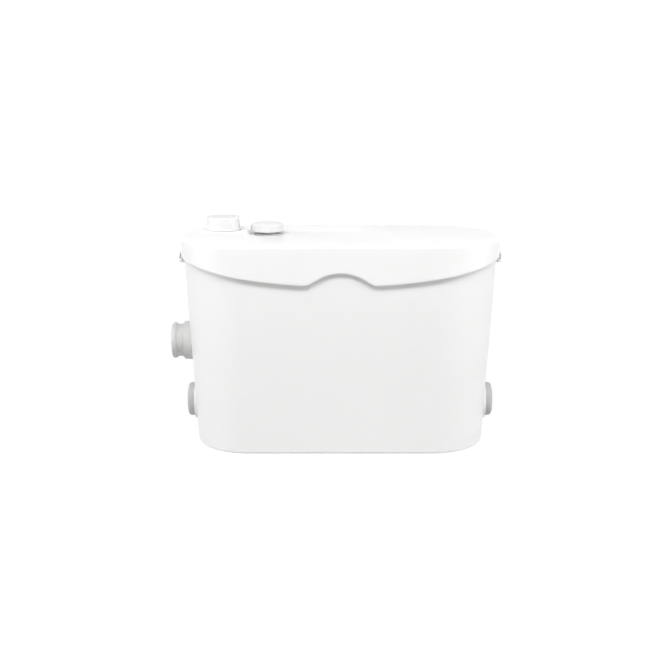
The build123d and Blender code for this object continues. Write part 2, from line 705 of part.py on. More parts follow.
# Discharge spigot: held through the lid by a nut, with its tail inside the riser hose.
lid_underside = lid_top - LID_SKIN
flange_high = lid_underside - SPIGOT_SEAL_THICK
flange_low = flange_high - SPIGOT_FLANGE_THICK
spigot_low = flange_low - SPIGOT_TAIL_LENGTH
tail_radius = PIPE_RADIUS - SPIGOT_TAIL_CLEARANCE
with BuildPart() as discharge_spigot:
    turn_upright(
        outlet,
        [
            (SPIGOT_BORE, spigot_low),
            (tail_radius, spigot_low),
            (tail_radius, flange_low),
            (SPIGOT_FLANGE_RADIUS, flange_low),
            (SPIGOT_FLANGE_RADIUS, flange_high),
            (SPIGOT_RADIUS, flange_high),
            (SPIGOT_RADIUS, spigot_top),
            (SPIGOT_BORE, spigot_top),
        ],
    )

with BuildPart() as spigot_seal:
    ring(outlet, flange_high, lid_underside, SPIGOT_FLANGE_RADIUS, SPIGOT_RADIUS + CAP_CLEARANCE)

with BuildPart() as spigot_nut:
    with BuildSketch(outlet.offset(lid_top)):
        RegularPolygon(SPIGOT_NUT_RADIUS, 6)
        Circle(SPIGOT_RADIUS, mode=Mode.SUBTRACT)
    extrude(amount=SPIGOT_NUT_THICK)

cap_low = lid_top + CAP_CLEARANCE
cap_ceiling = cap_top - CAP_WALL
cap_top_radius = CAP_RADIUS - (cap_top - cap_low) * tan(radians(CAP_TAPER))
grip_radius = SPIGOT_RADIUS + CAP_CLEARANCE
grip_low = lid_top + SPIGOT_NUT_THICK + CAP_CLEARANCE
with BuildPart() as discharge_cap:
    turn_upright(
        outlet,
        [
            (0, cap_top),
            (cap_top_radius, cap_top),
            (CAP_RADIUS, cap_low),
            (CAP_RADIUS - CAP_WALL, cap_low),
            (cap_top_radius - CAP_WALL, cap_ceiling),
            (grip_radius + CAP_WALL, cap_ceiling),
            (grip_radius + CAP_WALL, grip_low),
            (grip_radius, grip_low),
            (grip_radius, cap_ceiling),
            (0, cap_ceiling),
        ],
    )
    fillet(discharge_cap.edges().filter_by(GeomType.CIRCLE).sort_by(Axis.Z)[-1], CAP_ROUND)

with BuildPart() as discharge_cap_seal:
    ring(outlet, cap_ceiling - CAP_SEAL_THICK, cap_ceiling, SPIGOT_RADIUS)

# Vent: a tube through the well's floor, a carbon filter in it, and a fluted cap above it.
vent_low = well_floor - VENT_TUBE_DEPTH
vent_bore = VENT_TUBE_RADIUS - VENT_TUBE_WALL
neck_top = well_floor + VENT_NECK_HEIGHT
with BuildPart() as vent_body:
    turn_upright(
        vent,
        [
            (0, vent_low),
            (VENT_TUBE_RADIUS, vent_low),
            (VENT_TUBE_RADIUS, well_floor),
            (VENT_FLANGE_RADIUS, well_floor),
            (VENT_FLANGE_RADIUS, well_floor + VENT_FLANGE_THICK),
            (VENT_TUBE_RADIUS, well_floor + VENT_FLANGE_THICK),
            (VENT_TUBE_RADIUS, neck_top),
            (vent_bore, neck_top),
            (vent_bore, vent_low + VENT_TUBE_WALL),
            (0, vent_low + VENT_TUBE_WALL),
        ],
    )
    with BuildSketch(vent.offset(vent_low)):
        with PolarLocations(VENT_HOLE_CIRCLE, VENT_HOLES):
            Circle(VENT_HOLE_RADIUS)
    extrude(amount=VENT_TUBE_WALL, mode=Mode.SUBTRACT)

with BuildPart() as vent_filter:
    filter_low = vent_low + VENT_TUBE_WALL
    ring(vent, filter_low, filter_low + FILTER_HEIGHT, vent_bore - CAP_CLEARANCE)

cap_side_top = vent_cap_top - VENT_CAP_DOME
cap_inside = VENT_CAP_RADIUS - VENT_CAP_WALL
plug_radius = vent_bore - CAP_CLEARANCE
with BuildPart() as vent_cap:
    with BuildSketch(Plane(origin=(vent_x, vent_y, 0), x_dir=(1, 0, 0), z_dir=(0, -1, 0))):
        with BuildLine():
            Line((0, cap_side_top - VENT_CAP_WALL), (0, vent_cap_top))
            RadiusArc(
                (0, vent_cap_top),
                (VENT_CAP_RADIUS, cap_side_top),
                (VENT_CAP_RADIUS**2 + VENT_CAP_DOME**2) / (2 * VENT_CAP_DOME),
            )
            Polyline(
                (VENT_CAP_RADIUS, cap_side_top),
                (VENT_CAP_RADIUS, vent_cap_low),
                (cap_inside, vent_cap_low),
                (cap_inside, cap_side_top - VENT_CAP_WALL),
                (plug_radius, cap_side_top - VENT_CAP_WALL),
                (plug_radius, neck_top - VENT_PLUG_LENGTH),
                (plug_radius - VENT_CAP_WALL, neck_top - VENT_PLUG_LENGTH),
                (plug_radius - VENT_CAP_WALL, cap_side_top - VENT_CAP_WALL),
                (0, cap_side_top - VENT_CAP_WALL),
            )
        make_face()
    revolve(axis=Axis((vent_x, vent_y, 0), (0, 0, 1)))
    with BuildSketch(vent.offset(vent_cap_low)):
        with PolarLocations(VENT_CAP_RADIUS + VENT_FLUTE_RADIUS / 2, VENT_FLUTES):
            Circle(VENT_FLUTE_RADIUS)
    extrude(amount=cap_side_top - vent_cap_low, mode=Mode.SUBTRACT)
    with BuildSketch(vent.offset(neck_top - VENT_PLUG_LENGTH)):
        with PolarLocations(0, VENT_PLUG_SLOTS):
            Rectangle(VENT_CAP_RADIUS, plug_radius / 2, align=(Align.MIN, Align.CENTER))
        Circle(plug_radius - VENT_CAP_WALL, mode=Mode.SUBTRACT)
        Circle(plug_radius, mode=Mode.INTERSECT)
    extrude(amount=cap_side_top - VENT_CAP_WALL - neck_top + VENT_PLUG_LENGTH, mode=Mode.SUBTRACT)

# Pump
volute_end_radius = outlet_y + PIPE_INNER_RADIUS


def spiral(low, extra):
    """The volute's outline: a radius that grows evenly through one turn from the +Y side."""

    def point(turn):
        radius = VOLUTE_START_RADIUS + (volute_end_radius - VOLUTE_START_RADIUS) * turn + extra
        angle = radians(90 + 360 * turn)
        return (radius * cos(angle), radius * sin(angle))

    with BuildSketch(pump.offset(low)) as outline:
        with BuildLine():
            for i in range(VOLUTE_ARCS):
                ThreePointArc(
                    point(i / VOLUTE_ARCS), point((i + 0.5) / VOLUTE_ARCS), point((i + 1) / VOLUTE_ARCS)
                )
            Line(point(1), point(0))
        make_face()
    return outline.sketch


with BuildPart() as pump_feet:
    with BuildSketch(pump.offset(TANK_FLOOR)):
        with PolarLocations(FOOT_CIRCLE, FOOT_COUNT):
            Circle(FOOT_RADIUS)
    extrude(amount=FOOT_HEIGHT)

with BuildPart() as strainer:
    ring(pump, feet_top, strainer_top, STRAINER_RADIUS)
    ring(pump, feet_top + STRAINER_WALL, strainer_top, STRAINER_RADIUS - STRAINER_WALL, mode=Mode.SUBTRACT)
    with BuildSketch(pump.offset(feet_top + STRAINER_WALL)):
        with PolarLocations(STRAINER_RADIUS, STRAINER_SLOTS):
            Rectangle(3 * STRAINER_WALL, STRAINER_SLOT_WIDTH)
    extrude(amount=STRAINER_HEIGHT - 2 * STRAINER_WALL, mode=Mode.SUBTRACT)

nozzle_plane = Plane(origin=(pump_x, outlet_y, nozzle_height), x_dir=(0, 1, 0), z_dir=(-1, 0, 0))
with BuildPart() as volute_casing:
    extrude(spiral(strainer_top, VOLUTE_WALL), amount=VOLUTE_HEIGHT)
    ring(pump, volute_top - FLANGE_THICK, volute_top, FLANGE_RADIUS)
    ring(nozzle_plane, 0, NOZZLE_LENGTH, PIPE_RADIUS)
    extrude(spiral(strainer_top + VOLUTE_FLOOR, 0), amount=VOLUTE_HEIGHT, mode=Mode.SUBTRACT)
    ring(nozzle_plane, 0, NOZZLE_LENGTH, PIPE_INNER_RADIUS, mode=Mode.SUBTRACT)
    ring(pump, strainer_top, volute_top, VOLUTE_EYE_RADIUS, mode=Mode.SUBTRACT)
    with BuildSketch(pump.offset(volute_top - FLANGE_THICK)):
        with PolarLocations(FLANGE_SCREW_CIRCLE, FLANGE_SCREW_COUNT):
            Circle(SCREW_RADIUS)
    extrude(amount=FLANGE_THICK, mode=Mode.SUBTRACT)

impeller_top = volute_top - IMPELLER_TIP_GAP
vane_top = impeller_top - IMPELLER_PLATE
vane_low = vane_top - IMPELLER_VANE_HEIGHT
hub_low = vane_low - IMPELLER_HUB_DROP
blade_low = hub_low - BLADE_THICK
nut_low = blade_low - IMPELLER_NUT_HEIGHT
shaft_low = nut_low - JOINT_GAP
vane = ThreePointArc(
    (IMPELLER_HUB_RADIUS, 0),
    (IMPELLER_RADIUS * VANE_MIDDLE_OUT, -IMPELLER_RADIUS * VANE_MIDDLE_SIDE),
    (IMPELLER_RADIUS * VANE_END_OUT, -IMPELLER_RADIUS * VANE_END_SIDE),
)
with BuildPart() as impeller:
    ring(pump, vane_top, impeller_top, IMPELLER_RADIUS)
    with BuildSketch(pump.offset(vane_low)):
        with PolarLocations(0, IMPELLER_VANES):
            SlotArc(vane, VOLUTE_WALL)
    extrude(amount=IMPELLER_VANE_HEIGHT)
    ring(pump, hub_low, impeller_top, IMPELLER_HUB_RADIUS)
    ring(pump, hub_low, impeller_top, SHAFT_END_RADIUS, mode=Mode.SUBTRACT)

with BuildPart() as cutter_blade:
    with BuildSketch(pump.offset(blade_low)):
        SlotOverall(BLADE_LENGTH, BLADE_WIDTH)
        Circle(IMPELLER_HUB_RADIUS - BLADE_HUB_INSET)
    extrude(amount=BLADE_THICK)
    ring(pump, blade_low, hub_low, SHAFT_END_RADIUS, mode=Mode.SUBTRACT)

with BuildPart() as impeller_nut:
    with BuildSketch(pump.offset(nut_low)):
        RegularPolygon(IMPELLER_NUT_RADIUS, 6)
        Circle(SHAFT_END_RADIUS, mode=Mode.SUBTRACT)
    extrude(amount=IMPELLER_NUT_HEIGHT)

with BuildPart() as seal_plate:
    ring(pump, volute_top, plate_top, FLANGE_RADIUS, SEAL_RADIUS)
    with BuildSketch(pump.offset(volute_top)):
        with PolarLocations(FLANGE_SCREW_CIRCLE, FLANGE_SCREW_COUNT):
            Circle(SCREW_RADIUS + SCREW_HOLE_CLEARANCE)
    extrude(amount=SEAL_PLATE_THICK, mode=Mode.SUBTRACT)

with BuildPart() as shaft_seal:
    ring(pump, plate_top - SEAL_HEIGHT, plate_top, SEAL_RADIUS, SHAFT_RADIUS + RUNNING_CLEARANCE)

# Motor
housing_floor = plate_top + MOTOR_FLOOR
bearing_seat_top = housing_floor + BEARING_HEIGHT
housing_bore = MOTOR_RADIUS - MOTOR_WALL
bearing_bore = SHAFT_RADIUS + RUNNING_CLEARANCE
with BuildPart() as motor_housing:
    ring(pump, plate_top, motor_top, MOTOR_RADIUS)
    ring(pump, plate_top, plate_top + FLANGE_THICK, FLANGE_RADIUS)
    ring(pump, motor_top - FLANGE_THICK, motor_top, FLANGE_RADIUS)
    ring(pump, housing_floor, motor_top, housing_bore, mode=Mode.SUBTRACT)
    ring(pump, housing_floor, bearing_seat_top, BEARING_RADIUS + BEARING_SEAT_WALL, BEARING_RADIUS)
    ring(pump, plate_top, housing_floor, SEAL_RADIUS, mode=Mode.SUBTRACT)
    with BuildSketch(pump.offset(plate_top)):
        with PolarLocations(FLANGE_SCREW_CIRCLE, FLANGE_SCREW_COUNT):
            Circle(SCREW_RADIUS + SCREW_HOLE_CLEARANCE)
    extrude(amount=FLANGE_THICK, mode=Mode.SUBTRACT)
    with BuildSketch(pump.offset(motor_top - FLANGE_THICK)):
        with PolarLocations(FLANGE_SCREW_CIRCLE, COVER_SCREW_COUNT, COVER_SCREW_START):
            Circle(SCREW_RADIUS)
    extrude(amount=FLANGE_THICK, mode=Mode.SUBTRACT)

with BuildPart() as lower_bearing:
    ring(pump, housing_floor, bearing_seat_top, BEARING_RADIUS, bearing_bore)

upper_bearing_low = motor_top + JOINT_GAP
upper_bearing_high = upper_bearing_low + BEARING_HEIGHT
with BuildPart() as upper_bearing:
    ring(pump, upper_bearing_low, upper_bearing_high, BEARING_RADIUS, bearing_bore)

shaft_top = upper_bearing_high + JOINT_GAP
with BuildPart() as motor_shaft:
    turn_upright(
        pump,
        [
            (0, shaft_low),
            (SHAFT_END_RADIUS, shaft_low),
            (SHAFT_END_RADIUS, impeller_top),
            (SHAFT_RADIUS, impeller_top),
            (SHAFT_RADIUS, shaft_top),
            (0, shaft_top),
        ],
    )

rotor_radius = STATOR_BORE - AIR_GAP
with BuildPart() as rotor:
    ring(pump, stator_bottom, stator_top, rotor_radius)
    ring(
        pump,
        stator_bottom - ROTOR_RING_HEIGHT,
        stator_top + ROTOR_RING_HEIGHT,
        rotor_radius,
        rotor_radius - ROTOR_RING_WALL,
    )
    ring(pump, stator_bottom, stator_top, SHAFT_RADIUS, mode=Mode.SUBTRACT)

slot_middle = (STATOR_SLOT_LOW + STATOR_SLOT_HIGH) / 2
slot_length = STATOR_SLOT_HIGH - STATOR_SLOT_LOW
with BuildPart() as stator_core:
    with BuildSketch(pump.offset(stator_bottom)):
        Circle(housing_bore)
        Circle(STATOR_BORE, mode=Mode.SUBTRACT)
        with PolarLocations(slot_middle, STATOR_SLOTS):
            Rectangle(slot_length, STATOR_SLOT_WIDTH, mode=Mode.SUBTRACT)
    extrude(amount=stator_height)

with BuildPart() as stator_windings:
    ring(pump, stator_bottom - WINDING_HEIGHT, stator_bottom, WINDING_OUTER, STATOR_SLOT_LOW)
    ring(pump, stator_top, stator_top + WINDING_HEIGHT, WINDING_OUTER, STATOR_SLOT_LOW)
    fillet(stator_windings.edges().filter_by(GeomType.CIRCLE), WINDING_HEIGHT / 4)
    with BuildSketch(pump.offset(stator_bottom - WINDING_HEIGHT / 2)):
        with PolarLocations(slot_middle, STATOR_SLOTS):
            Rectangle(slot_length - 2 * WINDING_CLEARANCE, STATOR_SLOT_WIDTH - 2 * WINDING_CLEARANCE)
    extrude(amount=stator_height + WINDING_HEIGHT)

cap_height_top = motor_top + COVER_CAP_HEIGHT
lead_start = (pump_x + LEAD_MOTOR_X, lead_y, cover_top + LEAD_BOSS_HEIGHT)
with BuildPart() as motor_cover:
    ring(pump, motor_top, cover_top, FLANGE_RADIUS)
    ring(pump, motor_top, cap_height_top, COVER_CAP_RADIUS)
    fillet(motor_cover.edges().filter_by(GeomType.CIRCLE).sort_by(Axis.Z)[-1], COVER_CAP_ROUND)
    with Locations(lead_start):
        Cylinder(LEAD_BOSS_RADIUS, LEAD_BOSS_HEIGHT, align=(Align.CENTER, Align.CENTER, Align.MAX))
    ring(pump, motor_top, upper_bearing_high, BEARING_RADIUS, mode=Mode.SUBTRACT)
    ring(pump, upper_bearing_high, shaft_top + JOINT_GAP, bearing_bore + JOINT_GAP, mode=Mode.SUBTRACT)
    with BuildSketch(pump.offset(motor_top)):
        with PolarLocations(FLANGE_SCREW_CIRCLE, COVER_SCREW_COUNT, COVER_SCREW_START):
            Circle(SCREW_RADIUS + SCREW_HOLE_CLEARANCE)
    extrude(amount=FLANGE_THICK, mode=Mode.SUBTRACT)


def make_screws(plane, low, seat, circle, count, start=0):
    """Pan-head screws on a circle, from their tips up to the seat of their heads."""
    with BuildPart() as screws:
        with BuildSketch(plane.offset(low)) as shanks:
            with PolarLocations(circle, count, start):
                Circle(SCREW_RADIUS)
        extrude(shanks.sketch, amount=seat - low)
        with BuildSketch(plane.offset(seat)) as heads:
            with PolarLocations(circle, count, start):
                Circle(SCREW_HEAD_RADIUS)
        extrude(heads.sketch, amount=SCREW_HEAD_HEIGHT)
    return screws


volute_screws = make_screws(
    pump, volute_top - FLANGE_THICK, plate_top + FLANGE_THICK, FLANGE_SCREW_CIRCLE, FLANGE_SCREW_COUNT
)
motor_cover_screws = make_screws(
    pump,
    motor_top - FLANGE_THICK,
    cover_top,
    FLANGE_SCREW_CIRCLE,
    COVER_SCREW_COUNT,
    COVER_SCREW_START,
)

# Discharge pipe: an elbow from the pump's nozzle to the riser.
pipe_start = nozzle_end - JOINT_GAP
with BuildPart() as discharge_pipe:
    with BuildLine():
        FilletPolyline(
            (pipe_start, outlet_y, nozzle_height),
            (outlet_x, outlet_y, nozzle_height),
            (outlet_x, outlet_y, ELBOW_END_HEIGHT),
            radius=ELBOW_RADIUS,
        )
    with BuildSketch(Plane(origin=(pipe_start, outlet_y, nozzle_height), x_dir=(0, 1, 0), z_dir=(-1, 0, 0))):
        Circle(PIPE_RADIUS)
        Circle(PIPE_INNER_RADIUS, mode=Mode.SUBTRACT)
    sweep()

coupler_radius = PIPE_RADIUS + COUPLER_WALL
nozzle_joint = nozzle_plane.offset(NOZZLE_LENGTH + JOINT_GAP / 2)
with BuildPart() as pump_coupler:
    ring(nozzle_joint, -COUPLER_LENGTH / 2, COUPLER_LENGTH / 2, coupler_radius, PIPE_RADIUS)

valve_joint = ELBOW_END_HEIGHT + JOINT_GAP / 2
with BuildPart() as valve_coupler:
    coupler_low = valve_joint - COUPLER_LENGTH / 2
    ring(outlet, coupler_low, coupler_low + COUPLER_LENGTH, coupler_radius, PIPE_RADIUS)

valve_low = ELBOW_END_HEIGHT + JOINT_GAP
chamber_low = valve_low + VALVE_NECK_LENGTH
chamber_high = chamber_low + VALVE_CHAMBER_HEIGHT
valve_high = chamber_high + VALVE_NECK_LENGTH
valve_floor = chamber_low + VALVE_END_THICK
chamber_radius = VALVE_RADIUS - VALVE_WALL
check_pin_x = outlet_x - CHECK_PIN_OFFSET
check_pin_height = valve_floor + FLAP_GAP + CHECK_FLAP_THICK
check_lug_middle = (CHECK_KNUCKLE_WIDTH + CHECK_LUG_WIDTH) / 2 + FLAP_GAP
check_pin_place = Location((check_pin_x, outlet_y, check_pin_height), (90, 0, 0))
with BuildPart() as check_valve_body:
    turn_upright(
        outlet,
        [
            (PIPE_INNER_RADIUS, valve_low),
            (PIPE_RADIUS, valve_low),
            (PIPE_RADIUS, chamber_low),
            (VALVE_RADIUS, chamber_low),
            (VALVE_RADIUS, chamber_high),
            (PIPE_RADIUS, chamber_high),
            (PIPE_RADIUS, valve_high),
            (PIPE_INNER_RADIUS, valve_high),
            (PIPE_INNER_RADIUS, chamber_high - VALVE_END_THICK),
            (chamber_radius, chamber_high - VALVE_END_THICK),
            (chamber_radius, valve_floor),
            (PIPE_INNER_RADIUS, valve_floor),
        ],
    )
    for y in (-check_lug_middle, check_lug_middle):
        lug_low = Vector(check_pin_x, outlet_y + y, valve_floor)
        with Locations(lug_low):
            Box(
                2 * CHECK_KNUCKLE,
                CHECK_LUG_WIDTH,
                check_pin_height + CHECK_KNUCKLE - valve_floor,
                align=(Align.CENTER, Align.CENTER, Align.MIN),
            )
    with Locations(check_pin_place):
        Cylinder(CHECK_PIN_RADIUS, 2 * check_lug_middle + CHECK_LUG_WIDTH, mode=Mode.SUBTRACT)

with BuildPart() as check_flap:
    ring(outlet, valve_floor + FLAP_GAP, check_pin_height, CHECK_FLAP_RADIUS)
    with BuildSketch(Plane.XZ.offset(-outlet_y - CHECK_KNUCKLE_WIDTH / 2)):
        with Locations((check_pin_x, check_pin_height)):
            Circle(CHECK_KNUCKLE)
        with Locations((outlet_x, check_pin_height)):
            Rectangle(CHECK_PIN_OFFSET, CHECK_KNUCKLE, align=(Align.MAX, Align.MIN))
    extrude(amount=CHECK_KNUCKLE_WIDTH)
    with Locations((outlet_x, outlet_y, valve_floor)):
        Cylinder(
            2 * VALVE_RADIUS, FLAP_GAP, align=(Align.CENTER, Align.CENTER, Align.MIN), mode=Mode.SUBTRACT
        )
    with Locations(check_pin_place):
        Cylinder(CHECK_PIN_RADIUS + RUNNING_CLEARANCE, 2 * CHECK_KNUCKLE_WIDTH, mode=Mode.SUBTRACT)

with BuildPart() as check_flap_pin:
    with Locations(check_pin_place):
        Cylinder(CHECK_PIN_RADIUS, 2 * check_lug_middle + CHECK_LUG_WIDTH)

hose_overlap = VALVE_NECK_LENGTH - JOINT_GAP
hose_low = valve_high - hose_overlap
hose_high = spigot_low + SPIGOT_TAIL_LENGTH / 2
with BuildPart() as riser_hose:
    ring(outlet, hose_low, hose_high, coupler_radius, PIPE_RADIUS)

quarter = COUPLER_LENGTH / 4
band_planes = [
    nozzle_joint.offset(-quarter),
    nozzle_joint.offset(quarter),
    outlet.offset(valve_joint - quarter),
    outlet.offset(valve_joint + quarter),
    outlet.offset(hose_low + hose_overlap / 2),
]
band_radius = coupler_radius + CLIP_BAND_THICK
with BuildPart() as hose_clips:
    for plane in band_planes:
        ring(plane, -CLIP_BAND_WIDTH / 2, CLIP_BAND_WIDTH / 2, band_radius, coupler_radius)
        with BuildSketch(plane.offset(-CLIP_BAND_WIDTH / 2)) as block:
            with Locations((0, -band_radius)):
                Rectangle(CLIP_BAND_WIDTH, 2 * COUPLER_WALL)
            Circle(coupler_radius, mode=Mode.SUBTRACT)
        extrude(block.sketch, amount=CLIP_BAND_WIDTH)

# Control box, with the level switch over the dip tube
box_middle = (box_x + BOX_WIDTH / 2, box_y + BOX_DEPTH / 2)
box_floor = box_bottom + BOX_WALL
box_top = box_bottom + BOX_HEIGHT
post_inset = BOX_WALL + BOX_POST_RADIUS - BOX_POST_SINK
post_spread = (BOX_WIDTH - 2 * post_inset, BOX_DEPTH - 2 * post_inset)
diaphragm_low = box_bottom - DIAPHRAGM_DROP
plunger_top = diaphragm_low + DIAPHRAGM_THICK + PLUNGER_HEIGHT
lever_low = plunger_top + CONTACT_GAP
lever_top = lever_low + LEVER_THICK
pivot_x = dip_x - LEVER_ARM
pivot_height = (lever_low + lever_top) / 2
switch_low = lever_top + SWITCH_LIFT
switch_top = switch_low + SWITCH_HEIGHT
with BuildPart() as control_box:
    with BuildSketch(Plane.XY.offset(box_bottom)):
        with Locations(box_middle):
            RectangleRounded(BOX_WIDTH, BOX_DEPTH, BOX_CORNER)
    extrude(amount=BOX_HEIGHT)
    with BuildSketch(Plane.XY.offset(box_floor)):
        with Locations(box_middle):
            RectangleRounded(BOX_WIDTH - 2 * BOX_WALL, BOX_DEPTH - 2 * BOX_WALL, BOX_CORNER - BOX_WALL)
            with GridLocations(*post_spread, 2, 2):
                Circle(BOX_POST_RADIUS, mode=Mode.SUBTRACT)
    extrude(amount=BOX_HEIGHT, mode=Mode.SUBTRACT)
    with BuildSketch(Plane.XY.offset(box_top - BOX_SCREW_DEPTH)):
        with Locations(box_middle):
            with GridLocations(*post_spread, 2, 2):
                Circle(SCREW_RADIUS)
    extrude(amount=BOX_SCREW_DEPTH, mode=Mode.SUBTRACT)
    ring(dip, box_bottom, box_floor, PLUNGER_RADIUS + PLUNGER_CLEARANCE, mode=Mode.SUBTRACT)
    with Locations((dip_x - BUTTON_ARM, dip_y + SWITCH_WIDTH / 2, box_floor)):
        Box(
            SWITCH_LENGTH,
            BOX_WALL,
            switch_top - box_floor,
            align=(Align.CENTER, Align.MIN, Align.MIN),
        )

with BuildPart() as control_cover:
    with BuildSketch(Plane.XY.offset(box_top)):
        with Locations(box_middle):
            RectangleRounded(BOX_WIDTH, BOX_DEPTH, BOX_CORNER)
            with GridLocations(*post_spread, 2, 2):
                Circle(SCREW_RADIUS + SCREW_HOLE_CLEARANCE, mode=Mode.SUBTRACT)
    extrude(amount=BOX_COVER_THICK)
    with Locations((lead_box_x, lead_y, box_top)):
        Cylinder(
            LEAD_BOSS_RADIUS,
            BOX_COVER_THICK + LEAD_BOSS_HEIGHT,
            align=(Align.CENTER, Align.CENTER, Align.MIN),
        )

cover_seat = box_top + BOX_COVER_THICK
with BuildPart() as control_cover_screws:
    with BuildSketch(Plane.XY.offset(box_top - BOX_SCREW_DEPTH)):
        with Locations(box_middle):
            with GridLocations(*post_spread, 2, 2):
                Circle(SCREW_RADIUS)
    extrude(amount=BOX_SCREW_DEPTH + BOX_COVER_THICK)
    with BuildSketch(Plane.XY.offset(cover_seat)):
        with Locations(box_middle):
            with GridLocations(*post_spread, 2, 2):
                Circle(SCREW_HEAD_RADIUS)
    extrude(amount=SCREW_HEAD_HEIGHT)

with BuildPart() as capacitor:
    with Locations(Location((box_middle[0], capacitor_y, box_floor + CAPACITOR_RADIUS), (0, 90, 0))):
        Cylinder(CAPACITOR_RADIUS, CAPACITOR_LENGTH)
    fillet(capacitor.edges().filter_by(GeomType.CIRCLE), CAPACITOR_ROUND)

with BuildPart() as terminal_block:
    with Locations((dip_x + TERMINAL_LENGTH, dip_y, box_floor)):
        Box(TERMINAL_WIDTH, TERMINAL_LENGTH, TERMINAL_HEIGHT, align=(Align.CENTER, Align.CENTER, Align.MIN))
    with BuildSketch(Plane.XY.offset(box_floor + TERMINAL_HEIGHT)):
        with Locations((dip_x + TERMINAL_LENGTH, dip_y)):
            with GridLocations(TERMINAL_WIDTH / 2, TERMINAL_LENGTH / TERMINAL_WAYS, 2, TERMINAL_WAYS):
                Circle(SCREW_RADIUS)
    extrude(amount=-TERMINAL_HEIGHT / 2, mode=Mode.SUBTRACT)

bell_low = box_bottom - BELL_HEIGHT
bell_bore = BELL_RADIUS - BELL_WALL
dip_bore = DIP_RADIUS - DIP_WALL
with BuildPart() as dip_tube:
    turn_upright(
        dip,
        [
            (dip_bore, TANK_FLOOR + DIP_FLOOR_GAP),
            (DIP_RADIUS, TANK_FLOOR + DIP_FLOOR_GAP),
            (DIP_RADIUS, bell_low - BELL_CONE),
            (BELL_RADIUS, bell_low),
            (BELL_RADIUS, box_bottom),
            (bell_bore, box_bottom),
            (bell_bore, bell_low + BELL_CONE_STEP),
            (dip_bore, bell_low + BELL_CONE_STEP - BELL_CONE),
        ],
    )

with BuildPart() as diaphragm:
    ring(dip, diaphragm_low, diaphragm_low + DIAPHRAGM_THICK, bell_bore - DIAPHRAGM_CLEARANCE)
    ring(dip, diaphragm_low, plunger_top, PLUNGER_RADIUS)
    plunger_rim = diaphragm.edges().filter_by(GeomType.CIRCLE).sort_by(Axis.Z)[-1]
    fillet(plunger_rim, min(PLUNGER_ROUND, PLUNGER_RADIUS / 2))

ear_radius = 2 * LEVER_PIVOT_RADIUS
ear_middle = LEVER_WIDTH / 2 + CONTACT_GAP + LEVER_PIVOT_RADIUS
with BuildPart() as micro_switch:
    with Locations((dip_x - BUTTON_ARM, dip_y, switch_low)):
        Box(SWITCH_LENGTH, SWITCH_WIDTH, SWITCH_HEIGHT, align=(Align.CENTER, Align.CENTER, Align.MIN))
    for y in (-ear_middle, ear_middle):
        with Locations((pivot_x, dip_y + y, pivot_height - ear_radius)):
            Box(
                2 * ear_radius,
                2 * LEVER_PIVOT_RADIUS,
                switch_low - pivot_height + ear_radius,
                align=(Align.CENTER, Align.CENTER, Align.MIN),
            )
    with Locations(Location((pivot_x, dip_y, pivot_height), (90, 0, 0))):
        Cylinder(LEVER_PIVOT_RADIUS, 2 * ear_middle)
    with Locations((pivot_x + BUTTON_ARM, dip_y, switch_low)):
        Cylinder(
            BUTTON_RADIUS + RUNNING_CLEARANCE,
            SWITCH_HEIGHT / 2,
            align=(Align.CENTER, Align.CENTER, Align.MIN),
            mode=Mode.SUBTRACT,
        )

with BuildPart() as switch_lever:
    with BuildSketch(Plane.XZ.offset(-dip_y - LEVER_WIDTH / 2)):
        with Locations((pivot_x, pivot_height)):
            Circle(ear_radius)
            Rectangle(LEVER_LENGTH, LEVER_THICK, align=(Align.MIN, Align.CENTER))
            Circle(LEVER_PIVOT_RADIUS + RUNNING_CLEARANCE, mode=Mode.SUBTRACT)
    extrude(amount=LEVER_WIDTH)

with BuildPart() as switch_button:
    with Locations((pivot_x + BUTTON_ARM, dip_y, lever_top + CONTACT_GAP)):
        Cylinder(
            BUTTON_RADIUS,
            SWITCH_LIFT + SWITCH_HEIGHT / 4,
            align=(Align.CENTER, Align.CENTER, Align.MIN),
        )

lead_end = (lead_box_x, lead_y, cover_seat + LEAD_BOSS_HEIGHT)
with BuildPart() as motor_lead:
    with BuildLine():
        FilletPolyline(
            lead_start,
            (lead_start[0], lead_y, lead_height),
            (lead_box_x, lead_y, lead_height),
            lead_end,
            radius=LEAD_BEND,
        )
    with BuildSketch(Plane(origin=lead_start)):
        Circle(LEAD_RADIUS)
    sweep()

# Cable gland through the back wall, with its nut inside the tank
gland = Plane(origin=(gland_x, gland_face, gland_height), x_dir=(-1, 0, 0), z_dir=(0, 1, 0))
dome_end = GLAND_HEX_LENGTH + GLAND_DOME_LENGTH
tail_end = -GLAND_PAD_DEPTH - GLAND_TAIL
with BuildPart() as cable_gland:
    with BuildSketch(gland):
        RegularPolygon(GLAND_HEX, 6)
    extrude(amount=GLAND_HEX_LENGTH)
    ring(gland, GLAND_HEX_LENGTH, dome_end, GLAND_DOME_RADIUS)
    fillet(cable_gland.edges().filter_by(GeomType.CIRCLE).sort_by(Axis.Y)[-1], GLAND_DOME_LENGTH / 2)
    ring(gland, tail_end, 0, GLAND_RADIUS)
    ring(gland, tail_end, dome_end, GLAND_BORE, mode=Mode.SUBTRACT)

with BuildPart() as gland_nut:
    with BuildSketch(gland.offset(-GLAND_PAD_DEPTH - GLAND_NUT_LENGTH)):
        RegularPolygon(GLAND_HEX, 6)
        Circle(GLAND_RADIUS, mode=Mode.SUBTRACT)
    extrude(amount=GLAND_NUT_LENGTH)

